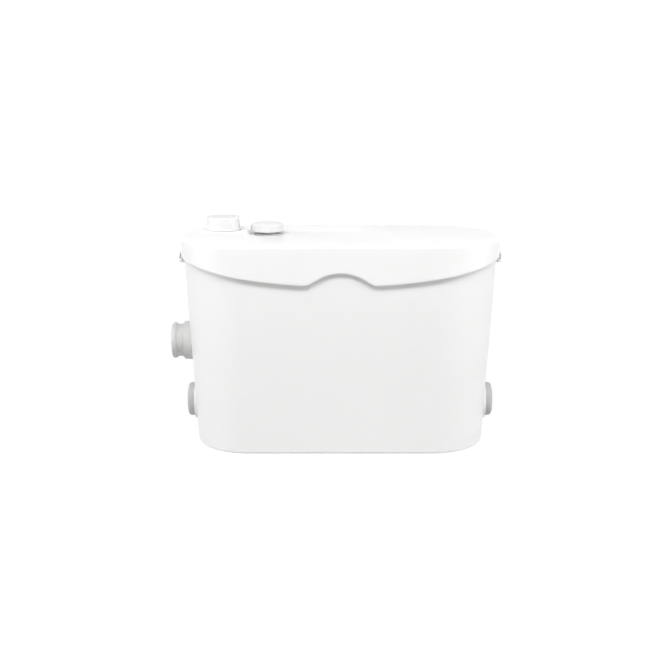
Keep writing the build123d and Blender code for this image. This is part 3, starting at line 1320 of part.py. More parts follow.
pieces = {
    "tank": tank,
    "upper_inlet_sleeve": upper_inlet_sleeve,
    "lower_left_bung": lower_left_bung,
    "lower_right_bung": lower_right_bung,
    "inlet_flap_pins": inlet_flap_pins,
    "lid": lid,
    "lid_gasket": lid_gasket,
    "left_clip": left_clip,
    "right_clip": right_clip,
    "clip_pins": clip_pins,
    "discharge_spigot": discharge_spigot,
    "spigot_seal": spigot_seal,
    "spigot_nut": spigot_nut,
    "discharge_cap": discharge_cap,
    "discharge_cap_seal": discharge_cap_seal,
    "vent_body": vent_body,
    "vent_filter": vent_filter,
    "vent_cap": vent_cap,
    "pump_feet": pump_feet,
    "strainer": strainer,
    "volute_casing": volute_casing,
    "impeller": impeller,
    "cutter_blade": cutter_blade,
    "impeller_nut": impeller_nut,
    "seal_plate": seal_plate,
    "shaft_seal": shaft_seal,
    "motor_housing": motor_housing,
    "lower_bearing": lower_bearing,
    "upper_bearing": upper_bearing,
    "motor_shaft": motor_shaft,
    "rotor": rotor,
    "stator_core": stator_core,
    "stator_windings": stator_windings,
    "motor_cover": motor_cover,
    "volute_screws": volute_screws,
    "motor_cover_screws": motor_cover_screws,
    "discharge_pipe": discharge_pipe,
    "pump_coupler": pump_coupler,
    "valve_coupler": valve_coupler,
    "check_valve_body": check_valve_body,
    "check_flap": check_flap,
    "check_flap_pin": check_flap_pin,
    "riser_hose": riser_hose,
    "hose_clips": hose_clips,
    "control_box": control_box,
    "control_cover": control_cover,
    "control_cover_screws": control_cover_screws,
    "capacitor": capacitor,
    "terminal_block": terminal_block,
    "dip_tube": dip_tube,
    "diaphragm": diaphragm,
    "micro_switch": micro_switch,
    "switch_lever": switch_lever,
    "switch_button": switch_button,
    "motor_lead": motor_lead,
    "cable_gland": cable_gland,
    "gland_nut": gland_nut,
    **flaps,
}

os.makedirs("parts", exist_ok=True)
for name, piece in pieces.items():
    piece.part.label = name
    export_step(piece.part, f"parts/{name}.step")
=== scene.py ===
"""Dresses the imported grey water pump: shaped pieces, finishes for every node, and a studio."""

import json

import bmesh
import bpy
import numpy as np
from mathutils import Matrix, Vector


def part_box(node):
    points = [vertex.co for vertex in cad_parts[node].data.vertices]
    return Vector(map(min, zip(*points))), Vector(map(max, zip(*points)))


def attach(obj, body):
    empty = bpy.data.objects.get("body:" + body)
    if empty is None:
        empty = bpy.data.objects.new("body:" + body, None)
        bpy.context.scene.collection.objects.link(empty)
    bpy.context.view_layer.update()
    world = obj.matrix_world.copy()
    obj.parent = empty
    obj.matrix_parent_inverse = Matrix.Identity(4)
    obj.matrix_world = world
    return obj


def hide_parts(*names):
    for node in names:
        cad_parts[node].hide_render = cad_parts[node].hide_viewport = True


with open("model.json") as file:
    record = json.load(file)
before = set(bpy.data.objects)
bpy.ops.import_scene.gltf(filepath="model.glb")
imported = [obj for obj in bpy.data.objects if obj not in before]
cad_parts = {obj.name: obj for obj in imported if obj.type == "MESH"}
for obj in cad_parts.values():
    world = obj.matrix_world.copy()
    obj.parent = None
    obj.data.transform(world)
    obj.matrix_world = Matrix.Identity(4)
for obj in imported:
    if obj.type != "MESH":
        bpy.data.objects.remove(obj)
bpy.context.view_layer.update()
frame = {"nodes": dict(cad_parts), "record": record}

bl_info = {
    "name": "Grey water pump",
    "version": (1, 0, 0),
    "blender": (4, 5, 0),
    "location": "3D View > Sidebar > Pump",
    "description": "Shapes, finishes and studio for a grey water macerator pump",
    "category": "Object",
}

# The picture's width in pixels, and the camera's sensor in millimetres
IMAGE_SIZE = 665
SENSOR_WIDTH = 36.0

# Metres
MM = 0.001
MERGE_GAP = 0.00002

# Where the well's round end and its shelf lie, the ribs that the clips catch, the clips' pins and
# arms, and the tank's faces under the sleeve's collar and the bungs' heads, in metres
WELL_ARC_MIDDLE = (-0.123, -0.031)
WELL_ARC_RADIUS = 0.199
SHELF_EDGE = -0.130
CATCH_HEIGHT = 0.2555
PIN_REACH = 0.21107
PIN_HEIGHT = 0.245
ARM_MIDDLE = 0.01065
SLEEVE_FACE = -0.201888
BUNG_FACE = 0.197684

# Edges sharper than this, in degrees, stay sharp
SHARP_ANGLE = 38.0

WHITE = (1.0, 1.0, 1.0, 1.0)


def length(name, description, value):
    """A length in metres among a group's settings."""
    return bpy.props.FloatProperty(name=name, description=description, default=value, unit="LENGTH")


def power(name, description, value):
    """A lamp's power in watts among a group's settings."""
    return bpy.props.FloatProperty(name=name, description=description, default=value, unit="POWER")


def amount(name, description, value):
    """A plain number among a group's settings."""
    return bpy.props.FloatProperty(name=name, description=description, default=value)


def angle(name, description, value):
    """An angle in radians among a group's settings."""
    return bpy.props.FloatProperty(name=name, description=description, default=value, subtype="ANGLE")


def colour(name, description, value):
    """A colour among a group's settings."""
    return bpy.props.FloatVectorProperty(
        name=name, description=description, default=value, subtype="COLOR", size=3
    )


class PumpSizes(bpy.types.PropertyGroup):
    """Sizes of the shaped pieces."""

    lid_half_width: length("Lid half width", "From the middle to the lid's end", 0.20997)
    lid_half_depth: length("Lid half depth", "From the middle to the lid's front", 0.09997)
    lid_corner: length("Lid corner", "Radius of the lid's corners, seen from above", 0.09047)
    lid_top: length("Lid top", "Height of the lid's rim", 0.279)
    lid_edge: length("Lid edge", "Radius between the lid's top and its skirt", 0.0045)
    lid_skin: length("Lid skin", "Thickness of the lid's top", 0.003)
    rim_crown: length("Rim crown", "Rise of the rim above its rounded edge", 0.0006)
    rim_run: length("Rim run", "Width over which the rim rises", 0.01)
    skirt_wall: length("Skirt wall", "Thickness of the lid's skirt", 0.0018)
    skirt_roof: length("Skirt roof", "Depth of the skirt's inner top below the rim", 0.013)
    skirt_low: length("Skirt low", "Lowest height of the skirt's edge", 0.2255)
    skirt_radius: length("Skirt radius", "Radius of the long curve of the skirt's edge", 0.8013)
    notch_top: length("Notch top", "Height of the notch's crown", 0.2425)
    notch_crown: length("Notch crown", "Radius of the notch's crown", 0.0538)
    notch_flat: length("Notch flat", "Half width of the level run on the crown", 0.0008)
    notch_reach: length("Notch reach", "Half width where the notch's sides would meet its top", 0.01571)
    notch_tangent: length("Notch tangent", "Half width where the crown meets the sloping sides", 0.0285)
    notch_slope: angle("Notch slope", "Slope of the notch's sides", np.radians(31.0))
    notch_round: length("Notch round", "Softness where the notch meets the long curve", 0.0022)
    land_low: length("Land low", "Underside of the land that presses on the gasket", 0.262)
    land_inset: length("Land inset", "From the lid's outline to the land's outer edge", 0.0035)
    lip_low: length("Lip low", "Lower edge of the lip inside the tank", 0.252)
    lip_inset: length("Lip inset", "From the lid's outline to the lip", 0.0078)
    lip_width: length("Lip width", "Thickness of the lip", 0.0016)
    spigot_hole: length("Spigot hole", "Radius of the lid's hole for the spigot", 0.0168)
    vent_hole: length("Vent hole", "Radius of the lid's hole for the vent", 0.0153)
    well_depth: length("Well depth", "Depth of the well in the lid's top", 0.0066)
    well_inset: length("Well inset", "Width of the rim round the well", 0.0095)
    well_ramp: length("Well ramp", "Length of the soft ramp at the well's right end", 0.034)
    well_front: length("Well front", "Length of the slope into the well from the front rim", 0.045)
    well_back: length("Well back", "Length of the slope into the well from the back rim", 0.042)
    well_blend: length("Well blend", "Depth over which the front slope turns into the back one", 0.06)
    shelf_ramp: length("Shelf ramp", "Length of the slope down from the front left shelf", 0.036)
    shelf_back: length("Shelf back", "Length of the shelf's short slope behind", 0.007)
    boss_radius: length("Boss radius", "Radius of the flat boss under the discharge cap", 0.031)
    boss_ramp: length("Boss ramp", "Length of the slope round that boss", 0.009)
    vent_cap_flute: length("Vent cap flute", "Depth of the flutes on the vent cap's side", 0.0004)
    vent_cap_hang: length("Vent cap hang", "How far the vent cap's rim hangs below the lid's rim", 0.0016)
    clip_thick: length("Clip thickness", "Thickness of a side clip's leaf", 0.0015)
    clip_knuckle: length("Clip knuckle", "Radius of a side clip's knuckles", 0.0022)
    clip_leaf_half: length("Clip leaf half", "Half the width of a side clip's leaf", 0.0095)
    clip_arm_half: length("Clip arm half", "Half the width of each arm of a side clip", 0.00435)
    hose_bore: length("Hose bore", "Radius of the riser hose's bore", 0.01605)
    hose_rib: length("Hose rib", "Depth of the riser hose's ribs", 0.0014)
    hose_pitch: length("Hose pitch", "From one rib of the riser hose to the next", 0.0055)
    lead_radius: length("Lead radius", "Radius of the motor's lead", 0.0035)


class PumpFinishes(bpy.types.PropertyGroup):
    """Colours of the finishes."""

    white_plastic: colour("White plastic", "Tank, lid and caps", (0.84, 0.84, 0.836))
    grey_rubber: colour("Grey rubber", "Inlet sleeve and bungs", (0.60, 0.60, 0.595))
    clip_grey: colour("Clip grey", "Side clips", (0.90, 0.90, 0.895))
    black_rubber: colour("Black rubber", "Hoses, seals and flaps", (0.028, 0.028, 0.029))
    pipe_grey: colour("Pipe grey", "Waste pipe plastic", (0.36, 0.37, 0.385))
    box_grey: colour("Box grey", "Control box", (0.60, 0.61, 0.62))
    pump_black: colour("Pump black", "Glass filled pump mouldings", (0.05, 0.05, 0.053))
    copper: colour("Copper", "Enamelled winding wire", (0.58, 0.25, 0.10))
    steel: colour("Steel", "Stainless steel", (0.60, 0.60, 0.59))
    core_steel: colour("Core steel", "Laminated core of the motor", (0.26, 0.27, 0.29))
    cast_metal: colour("Cast metal", "Cast aluminium", (0.60, 0.61, 0.62))


class PumpStudio(bpy.types.PropertyGroup):
    """Camera, lamps and floor."""

    distance: length("Distance", "Camera in front of the middle of the object", 1.3873)
    aside: length("Aside", "Camera to the left of the middle", 0.01026)
    height: length("Height", "Camera above the floor", 0.47246)
    pitch: angle("Pitch", "How far the camera looks down", 0.23232)
    focal_pixels: amount("Focal length", "Focal length in pixels of the picture", 1050.0)
    sky: amount("Sky", "Strength of the even light", 0.15)
    key_light: power("Key light", "Power of the lamp high in front", 31.0)
    fill_light: power("Fill light", "Power of the low front lamp", 1.0)
    side_light: power("Side light", "Power of each side lamp", 12.0)
    back_light: power("Back light", "Power of the low lamp behind", 9.0)
    floor: colour("Floor", "Plain colour of the floor", (0.60, 0.60, 0.60))
    floor_glow: amount("Floor glow", "Share of plain white in the floor that the camera sees", 0.84)
    floor_white: amount("Floor white", "Strength of that plain white", 1.11)
    floor_half: length("Floor half", "Half the floor's width", 40.0)
    shade_near: length("Shade near", "The floor shows its shade in full up to here", 0.75)
    shade_far: length("Shade far", "The floor shows no shade from here on", 1.375)


class Wire:
    """A socket in a node tree. Arithmetic on it adds the Math nodes that work it out."""

    def __init__(self, tree, socket):
        self.tree = tree
        self.socket = socket

    def _math(self, operation, *values):
        return self.tree.node("ShaderNodeMath", {"operation": operation}, dict(enumerate(values)))

    def __add__(self, other):
        return self._math("ADD", self, other)

    __radd__ = __add__

    def __mul__(self, other):
        return self._math("MULTIPLY", self, other)

    __rmul__ = __mul__

    def __sub__(self, other):
        return self._math("SUBTRACT", self, other)

    def __rsub__(self, other):
        return self._math("SUBTRACT", other, self)

    def larger(self, other):
        return self._math("MAXIMUM", self, other)

    def sine(self):
        return self._math("SINE", self)

    def limited(self):
        """The value held between 0 and 1."""
        return self.tree.node("ShaderNodeClamp", {}, {0: self})


class Tree:
    """The nodes of a material or a world, with one method that adds any node."""

    def __init__(self, owner):
        owner.use_nodes = True
        self.owner = owner
        self.nodes = owner.node_tree.nodes
        self.links = owner.node_tree.links
        self.nodes.clear()

    def node(self, kind, settings, values, output=0):
        """Adds a node, sets its settings, then gives its sockets their values or links."""
        made = self.nodes.new(kind)
        for name, value in settings.items():
            setattr(made, name, value)
        for name, value in values.items():
            if isinstance(value, Wire):
                self.links.new(value.socket, made.inputs[name])
            else:
                made.inputs[name].default_value = value
        return Wire(self, made.outputs[output]) if len(made.outputs) else None

    def shown_rays(self):
        """1 for rays that see the background: camera, glossy and transmission rays."""
        seen = [
            self.node("ShaderNodeLightPath", {}, {}, name)
            for name in ("Is Camera Ray", "Is Glossy Ray", "Is Transmission Ray")
        ]
        return seen[0].larger(seen[1]).larger(seen[2])


class Finish(Tree):
    """A material while it is wired."""

    def __init__(self, name):
        super().__init__(bpy.data.materials.new(name))
        self.place = self.node("ShaderNodeTexCoord", {}, {}, "Object")

    def noise(self, scale, detail=2.0, place=None):
        """Noise from 0 to 1 with that many blobs a metre."""
        values = {"Vector": place or self.place, "Scale": scale, "Detail": detail}
        return self.node("ShaderNodeTexNoise", {}, values)

    def stretched(self, scale):
        """The object's coordinates, scaled on each axis."""
        return self.node("ShaderNodeMapping", {}, {"Vector": self.place, "Scale": scale})

    def axis(self, name):
        """One of the object's coordinates, in metres."""
        return self.node("ShaderNodeSeparateXYZ", {}, {0: self.place}, name)

    def shades(self, share, dark, light):
        """A colour between two, by a share from 0 to 1."""
        values = {0: share, 6: (*dark, 1.0), 7: (*light, 1.0)}
        return self.node("ShaderNodeMix", {"data_type": "RGBA"}, values, 2)

    def bump(self, height, distance, strength=1.0, before=None):
        """A surface normal from a height that is scaled by a distance in metres."""
        values = {"Height": height, "Distance": distance, "Strength": strength}
        if before is not None:
            values["Normal"] = before
        return self.node("ShaderNodeBump", {}, values)

    def done(self, values):
        """Ends the tree in a Principled surface with these values, and gives the material."""
        surface = self.node("ShaderNodeBsdfPrincipled", {}, values)
        self.node("ShaderNodeOutputMaterial", {}, {"Surface": surface})
        return self.owner


def tinted(shade, share):
    """A colour made lighter or darker by a share."""
    return tuple(min(1.0, max(0.0, channel * share)) for channel in shade)


def moulded(name, shade, gloss, grain, depth, shift=0.012):
    """Moulded plastic: a fine spark-eroded grain of a depth in metres, slow flow marks, and a tone
    that shifts by a share of itself."""
    finish = Finish(name)
    flow = finish.noise(14.0, 3.0)
    fine = finish.noise(grain, 2.0)
    slow = finish.bump(flow, 0.0004, 0.35)
    normal = finish.bump(fine, depth, 0.5, slow)
    tone = finish.shades(flow, tinted(shade, 1 - shift), tinted(shade, 1 + shift))
    rough = gloss + 0.10 * (fine - 0.5) + 0.06 * (flow - 0.5)
    return finish.done({"Base Color": tone, "Roughness": rough.limited(), "Normal": normal, "IOR": 1.49})


def rubber(name, shade, gloss, lines, axis):
    """Moulded rubber: soft grain, faint lines across an axis, in radians a metre, and a dusty bloom."""
    finish = Finish(name)
    fine = finish.noise(1800.0, 3.0)
    bloom = finish.noise(55.0, 4.0)
    rings = (finish.axis(axis) * lines).sine()
    normal = finish.bump(fine + 0.8 * rings, 0.00010, 0.7)
    tone = finish.shades(bloom + 0.12 * rings, tinted(shade, 0.91), tinted(shade, 1.07))
    rough = gloss + 0.14 * (bloom - 0.5) + 0.08 * (fine - 0.5)
    return finish.done({"Base Color": tone, "Roughness": rough.limited(), "Normal": normal, "IOR": 1.52})


def turned_metal(name, shade, gloss, depth):
    """Metal with fine tool marks, which run round the upright axis that it was turned about."""
    finish = Finish(name)
    marks = finish.noise(1.0, 4.0, finish.stretched((900.0, 900.0, 5200.0)))
    stain = finish.noise(60.0, 3.0)
    normal = finish.bump(marks, depth, 0.7)
    tone = finish.shades(stain, tinted(shade, 0.90), tinted(shade, 1.08))
    rough = gloss + 0.16 * (marks - 0.5) + 0.10 * (stain - 0.5)
    return finish.done(
        {"Base Color": tone, "Roughness": rough.limited(), "Metallic": 1.0, "Normal": normal}
    )


def cast_metal(name, shade):
    """Cast aluminium: a pebbled skin with slow tone, slightly dull."""
    finish = Finish(name)
    pebbles = finish.noise(900.0, 5.0)
    skin = finish.noise(40.0, 4.0)
    normal = finish.bump(pebbles + 0.8 * skin, 0.00018, 0.6)
    tone = finish.shades(skin, tinted(shade, 0.88), tinted(shade, 1.05))
    rough = 0.50 + 0.16 * (pebbles - 0.5) + 0.12 * (skin - 0.5)
    return finish.done(
        {"Base Color": tone, "Roughness": rough.limited(), "Metallic": 0.9, "Normal": normal}
    )


def laminated(name, shade):
    """A core of stacked sheets: a sine along the upright axis gives a line for each sheet."""
    finish = Finish(name)
    sheets = (finish.axis("Z") * (2 * np.pi / 0.001)).sine()
    oil = finish.noise(120.0, 4.0)
    normal = finish.bump(sheets, 0.00012, 0.7)
    lines = (0.5 + 0.3 * sheets + 0.3 * (oil - 0.5)).limited()
    tone = finish.shades(lines, tinted(shade, 0.6), shade)
    rough = 0.42 + 0.18 * (oil - 0.5)
    return finish.done(
        {"Base Color": tone, "Roughness": rough.limited(), "Metallic": 0.85, "Normal": normal}
    )


def wound(name, shade):
    """Enamelled wire: stretched noise makes strands that run round the ring."""
    finish = Finish(name)
    strands = finish.noise(1.0, 3.0, finish.stretched((260.0, 260.0, 1900.0)))
    varnish = finish.noise(90.0, 3.0)
    normal = finish.bump(strands, 0.0007, 0.8)
    tone = finish.shades((strands * 1.4 - 0.2).limited(), tinted(shade, 0.35), tinted(shade, 1.15))
    values = {
        "Base Color": tone,
        "Roughness": (0.30 + 0.2 * (varnish - 0.5)).limited(),
        "Metallic": 0.7,
        "Coat Weight": (0.4 + 0.5 * varnish).limited(),
        "Normal": normal,
    }
    return finish.done(values)


def granular(name, shade):
    """Pressed carbon granules: cells of a few tenths of a millimetre to two millimetres."""
    finish = Finish(name)
    cells = finish.node("ShaderNodeTexVoronoi", {}, {"Vector": finish.place, "Scale": 700.0})
    normal = finish.bump(cells, 0.0006, 1.0)
    tone = finish.shades(cells.limited(), tinted(shade, 1.8), tinted(shade, 0.5))
    return finish.done({"Base Color": tone, "Roughness": (0.75 + 0.2 * cells).limited(), "Normal": normal})


def make_finishes(colours):
    """One finish for each material slot of the record. The caps take the white plastic darkened, as painted
    shade, and the bungs take a darker copy of the inlet rubber, also painted shade.
    """
    white, black, clip = colours.white_plastic, colours.black_rubber, colours.clip_grey
    # Painted shade: the bungs' colour is the grey rubber darkened to 0.82 of itself
    rubber_grey, bung = colours.grey_rubber, tinted(colours.grey_rubber, 0.82)
    pipe, pump, box = colours.pipe_grey, colours.pump_black, colours.box_grey
    return {
        "tank_plastic": moulded("tank_white", white, gloss=0.36, grain=2300.0, depth=0.00002),
        "lid_plastic": moulded("lid_white", tinted(white, 1.01), gloss=0.30, grain=2600.0, depth=0.000015),
        # Painted shade: the caps take the white plastic at 0.885 of its colour, darker than the tank, which
        # tones down the light they catch
        "cap_plastic": moulded("cap_white_painted_shade", tinted(white, 0.885), gloss=0.33, grain=2600.0, depth=0.00002),
        "clip_plastic": moulded("clip_grey", clip, gloss=0.48, grain=1900.0, depth=0.00004, shift=0.03),
        "inlet_rubber": rubber("inlet_rubber", rubber_grey, gloss=0.58, lines=5200.0, axis="X"),
        # Painted shade: a darker copy of the inlet rubber for the bungs
        "bung_rubber_painted_shade": rubber("bung_rubber_painted_shade", bung, gloss=0.58, lines=5200.0, axis="X"),
        "black_rubber": rubber("black_rubber", black, gloss=0.55, lines=3100.0, axis="Z"),
        "pipe_plastic": moulded("pipe_grey", pipe, gloss=0.42, grain=1700.0, depth=0.00003, shift=0.03),
        "pump_plastic": moulded("pump_black", pump, gloss=0.50, grain=1300.0, depth=0.00006, shift=0.12),
        "motor_casting": cast_metal("motor_casting", colours.cast_metal),
        "stainless_steel": turned_metal("stainless", colours.steel, gloss=0.26, depth=0.00003),
        "core_steel": laminated("core_steel", colours.core_steel),
        "winding_copper": wound("winding_wire", colours.copper),
        "box_plastic": moulded("box_grey", box, gloss=0.46, grain=1500.0, depth=0.00004, shift=0.02),
        "carbon_filter": granular("carbon", black),
    }


def grid_faces(rows, columns):
    """Quads between neighbouring rows of a grid whose last column joins its first."""
    row, column = np.meshgrid(np.arange(rows - 1), np.arange(columns), indexing="ij")
    after = (column + 1) % columns
    quads = [row * columns + column, row * columns + after]
    quads += [(row + 1) * columns + after, (row + 1) * columns + column]
    return np.stack(quads, -1).reshape(-1, 4)


def pierced(points, faces, hole):
    """Takes out the faces whose middle lies in an upright round hole, and moves the points on the
    gap's edge out or in along their radius, to the hole's circle."""
    x, y, radius = hole
    away = np.hypot(points[:, 0] - x, points[:, 1] - y)
    gone = away[faces].mean(1) < radius
    edge = np.intersect1d(faces[gone], faces[~gone])
    points = points.copy()
    points[edge, :2] = (x, y) + (points[edge, :2] - (x, y)) * (radius / away[edge])[:, None]
    return points, faces[~gone]


def add_piece(name, grids, slot, body, replaced, holes=()):
    """Makes one object from grids of points (rows, columns, 3), opens its holes, closes its seams
    and poles, turns its faces outwards, marks its sharp edges, and gives it its slot's finish and its
    body. It hides the nodes that it stands for."""
    counts = np.cumsum([0] + [grid.shape[0] * grid.shape[1] for grid in grids])
    points = np.concatenate([grid.reshape(-1, 3) for grid in grids])
    faces = np.concatenate([grid_faces(*grid.shape[:2]) + n for grid, n in zip(grids, counts)])
    for hole in holes:
        points, faces = pierced(points, faces, hole)
    mesh = bpy.data.meshes.new(name)
    mesh.from_pydata(points.tolist(), [], faces.tolist())
    work = bmesh.new()
    work.from_mesh(mesh)
    bmesh.ops.remove_doubles(work, verts=work.verts, dist=MERGE_GAP)
    bmesh.ops.dissolve_degenerate(work, edges=work.edges, dist=MERGE_GAP / 4)
    loose = [vert for vert in work.verts if not vert.link_faces]
    bmesh.ops.delete(work, geom=loose, context="VERTS")
    for x, y, radius in holes:
        near = [edge for edge in work.edges if edge.is_boundary]
        near = [e for e in near if (e.verts[0].co.xy - Vector((x, y))).length < radius + MM]
        bmesh.ops.bridge_loops(work, edges=near)
    bmesh.ops.recalc_face_normals(work, faces=work.faces)
    work.to_mesh(mesh)
    work.free()
    mesh.polygons.foreach_set("use_smooth", np.ones(len(mesh.polygons), bool))
    mesh.set_sharp_from_angle(angle=np.radians(SHARP_ANGLE))
    mesh.materials.append(finishes[slot])
    piece = bpy.data.objects.new(name, mesh)
    bpy.context.scene.collection.objects.link(piece)
    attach(piece, body)
    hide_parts(*replaced)
    return piece


def eased(value):
    """Runs from 0 to 1 with level ends: three squares less two cubes of the held value."""
    held = np.clip(value, 0.0, 1.0)
    return held * held * (3 - 2 * held)


def rounded(corners, steps=6):
    """A profile, in metres, through corners (along, radius, round) in millimetres. Each corner is cut
    back by its round on both sides, and a parabola between the cuts takes its place."""
    pieces = []
    for index, (along, radius, cut) in enumerate(corners):
        here = np.array((along, radius))
        if cut == 0 or index in (0, len(corners) - 1):
            pieces.append(here[None])
            continue
        before = np.array(corners[index - 1][:2]) - here
        after = np.array(corners[index + 1][:2]) - here
        start = before * min(0.49, cut / np.linalg.norm(before))
        end = after * min(0.49, cut / np.linalg.norm(after))
        t = np.linspace(0, 1, steps + 1)[:, None]
        pieces.append(here + (1 - t) ** 2 * start + t**2 * end)
    return np.concatenate(pieces) * MM


def turned(centre, axis, profile, columns=96, flutes=None):
    """A profile of (along, radius) points turned about an axis through a centre: a point is the
    centre, plus along times the axis, plus the radius round the circle of two side directions."""
    axis = np.array(axis, float)
    side = np.cross(axis, (0.0, 1.0, 0.0) if abs(axis[1]) < 0.5 else (1.0, 0.0, 0.0))
    side /= np.linalg.norm(side)
    other = np.cross(axis, side)
    turn = np.linspace(0, 2 * np.pi, columns, endpoint=False)
    circle = np.cos(turn)[:, None] * side + np.sin(turn)[:, None] * other
    radius = profile[:, 1][:, None] * np.ones(columns)
    if flutes is not None:
        radius = radius - flutes(profile, turn)
    grid = np.array(centre) + profile[:, 0][:, None, None] * axis
    return grid + radius[:, :, None] * circle


def domed(share):
    """A half circle's height over its width: the root of one less the square of one less the share."""
    return np.sqrt(1 - (1 - np.clip(share, 0.0, 1.0)) ** 2)


def ribbon(origin, side, path, thick, low, high):
    """A strip of a thickness along a path of (out, up) points, wide in Y from low to high: a point is
    the path's, plus or minus half the thickness along the path's normal, which falls to nothing in a
    half circle at the strip's ends and sides."""
    path = np.array(path, float) * MM
    run = np.concatenate([[0.0], np.cumsum(np.linalg.norm(np.diff(path, axis=0), axis=1))])
    half = thick / 2
    near = half * (1 - np.cos(np.linspace(0, np.pi / 2, 6)))
    s = np.concatenate([near, np.linspace(half, run[-1] - half, 24)[1:-1], run[-1] - near[::-1]])
    line = np.stack([np.interp(s, run, path[:, 0]), np.interp(s, run, path[:, 1])], -1)
    smooth = np.array([1, 2, 3, 2, 1]) / 9
    line[2:-2] = np.stack([np.convolve(line[:, k], smooth, "valid") for k in (0, 1)], -1)
    along = np.gradient(line, axis=0)
    along /= np.linalg.norm(along, axis=1)[:, None]
    normal = np.stack([along[:, 1], -along[:, 0]], -1)
    tip = domed(np.minimum(s, run[-1] - s) / half)
    y = np.concatenate([low + near, np.linspace(low + half, high - half, 8)[1:-1], high - near[::-1]])
    flank = domed(np.minimum(y - low, high - y) / half)
    reach = half * flank[:, None, None] * tip[None, :, None] * normal[None]
    loop = np.concatenate([line + reach, (line - reach)[:, ::-1]], 1)
    x = origin[0] + side * loop[:, :, 0]
    return np.stack([x, np.broadcast_to(y[:, None], x.shape), origin[2] + loop[:, :, 1]], -1)


def tube(path, across, radius, columns=24):
    """A round tube along a flat path: a point is the path's, plus the radius round the circle of the
    path's normal and the direction across the path's plane. Its ends close to a point."""
    along = np.gradient(path, axis=0)
    along /= np.linalg.norm(along, axis=1)[:, None]
    normal = np.cross(along, across)
    turn = np.linspace(0, 2 * np.pi, columns, endpoint=False)
    round_it = np.cos(turn)[:, None] * normal[:, None] + np.sin(turn)[:, None] * np.array(across)
    grid = path[:, None] + radius * round_it
    ends = [np.broadcast_to(point, (1, columns, 3)) for point in (path[0], path[-1])]
    return np.concatenate([ends[0], grid, ends[1]])


def outline(half_width, half_depth, corner):
    """Four straight runs and four quarter circles, front first. Gives each column's place on the
    rectangle of the corners' centres, and its outward direction."""
    run_x, run_y = half_width - corner, half_depth - corner
    long_run, short_run, quarter = 130, 12, 78
    counts = np.array([long_run, quarter, short_run, quarter] * 2)
    leg = np.repeat(np.arange(8), counts)
    share = np.concatenate([np.arange(count) / count for count in counts])
    turn = np.radians(np.array([-90, -90, 0, 0, 90, 90, 180, 180])[leg])
    turn = turn + np.radians(np.array([0, 90, 0, 90, 0, 90, 0, 90])[leg] * share)
    x = np.array([-run_x, run_x, run_x, run_x, run_x, -run_x, -run_x, -run_x])[leg]
    y = np.array([-run_y, -run_y, -run_y, run_y, run_y, run_y, run_y, -run_y])[leg]
    x = x + np.array([2 * run_x, 0, 0, 0, -2 * run_x, 0, 0, 0])[leg] * share
    y = y + np.array([0, 0, 2 * run_y, 0, 0, 0, -2 * run_y, 0])[leg] * share
    return np.stack([x, y], -1), np.stack([np.cos(turn), np.sin(turn)], -1)


def skirt_edge(x, y, sizes):
    """Height of the skirt's lower edge: a long circle, and at the front the softened higher of it
    and a notch whose sides slope and whose crown is an arc with a short level run."""
    long_curve = sizes.skirt_low + sizes.skirt_radius - np.sqrt(sizes.skirt_radius**2 - x**2)
    out = np.abs(x)
    level = sizes.notch_top - sizes.notch_crown
    past_flat = np.maximum(out - sizes.notch_flat, 0.0)
    arc = level + np.sqrt(np.maximum(sizes.notch_crown**2 - past_flat**2, 0.0))
    sloped = sizes.notch_top - (out - sizes.notch_reach) * np.tan(sizes.notch_slope)
    notch = np.where(out < sizes.notch_tangent, arc, sloped)
    softened = (long_curve + notch + np.sqrt((long_curve - notch) ** 2 + sizes.notch_round**2)) / 2
    return np.where(y < 0, softened, long_curve)


def cap_middle(node):
    """The upright axis of a cap, as x and y."""
    low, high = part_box(node)
    return (low.x + high.x) / 2, (low.y + high.y) / 2


def lid_height(x, y, inset, sizes):
    """Height of the lid's top: the rim, less the well's depth times four eased ramps, from the rim,
    which is short in front and long behind, from the well's round right end, from the front left
    shelf and from the outlet's boss."""
    outlet_x, outlet_y = cap_middle("discharge_cap")
    behind = eased(0.5 + y / sizes.well_blend)
    slope = sizes.well_front + (sizes.well_back - sizes.well_front) * behind
    from_rim = eased((inset - sizes.well_inset) / slope)
    arc_x, arc_y = WELL_ARC_MIDDLE
    from_right = eased((WELL_ARC_RADIUS - np.hypot(x - arc_x, y - arc_y)) / sizes.well_ramp)
    past_shelf = np.maximum(x - SHELF_EDGE, 0.0) / sizes.shelf_ramp
    from_shelf = eased(np.hypot(past_shelf, np.maximum(y, 0.0) / sizes.shelf_back))
    boss = np.hypot(x - outlet_x, y - outlet_y) - sizes.boss_radius
    from_boss = eased(boss / sizes.boss_ramp)
    crown = sizes.rim_crown * (eased((inset - sizes.lid_edge) / sizes.rim_run) - 1.0)
    return sizes.lid_top + crown - sizes.well_depth * from_rim * from_right * from_shelf * from_boss


finishes = {}


class PUMP_OT_finishes(bpy.types.Operator):
    """Make every finish and give each node of the frame its own."""

    bl_idname = "pump.finishes"
    bl_label = "Finishes"

    def execute(self, context):
        finishes.update(make_finishes(context.scene.pump_finishes))
        slots = {row["node"]: row["material_slot"] for row in frame["record"]["subparts"]}
        for name, node in frame["nodes"].items():
            node.data.materials.clear()
            node.data.materials.append(finishes[slots[name]])
        return {"FINISHED"}


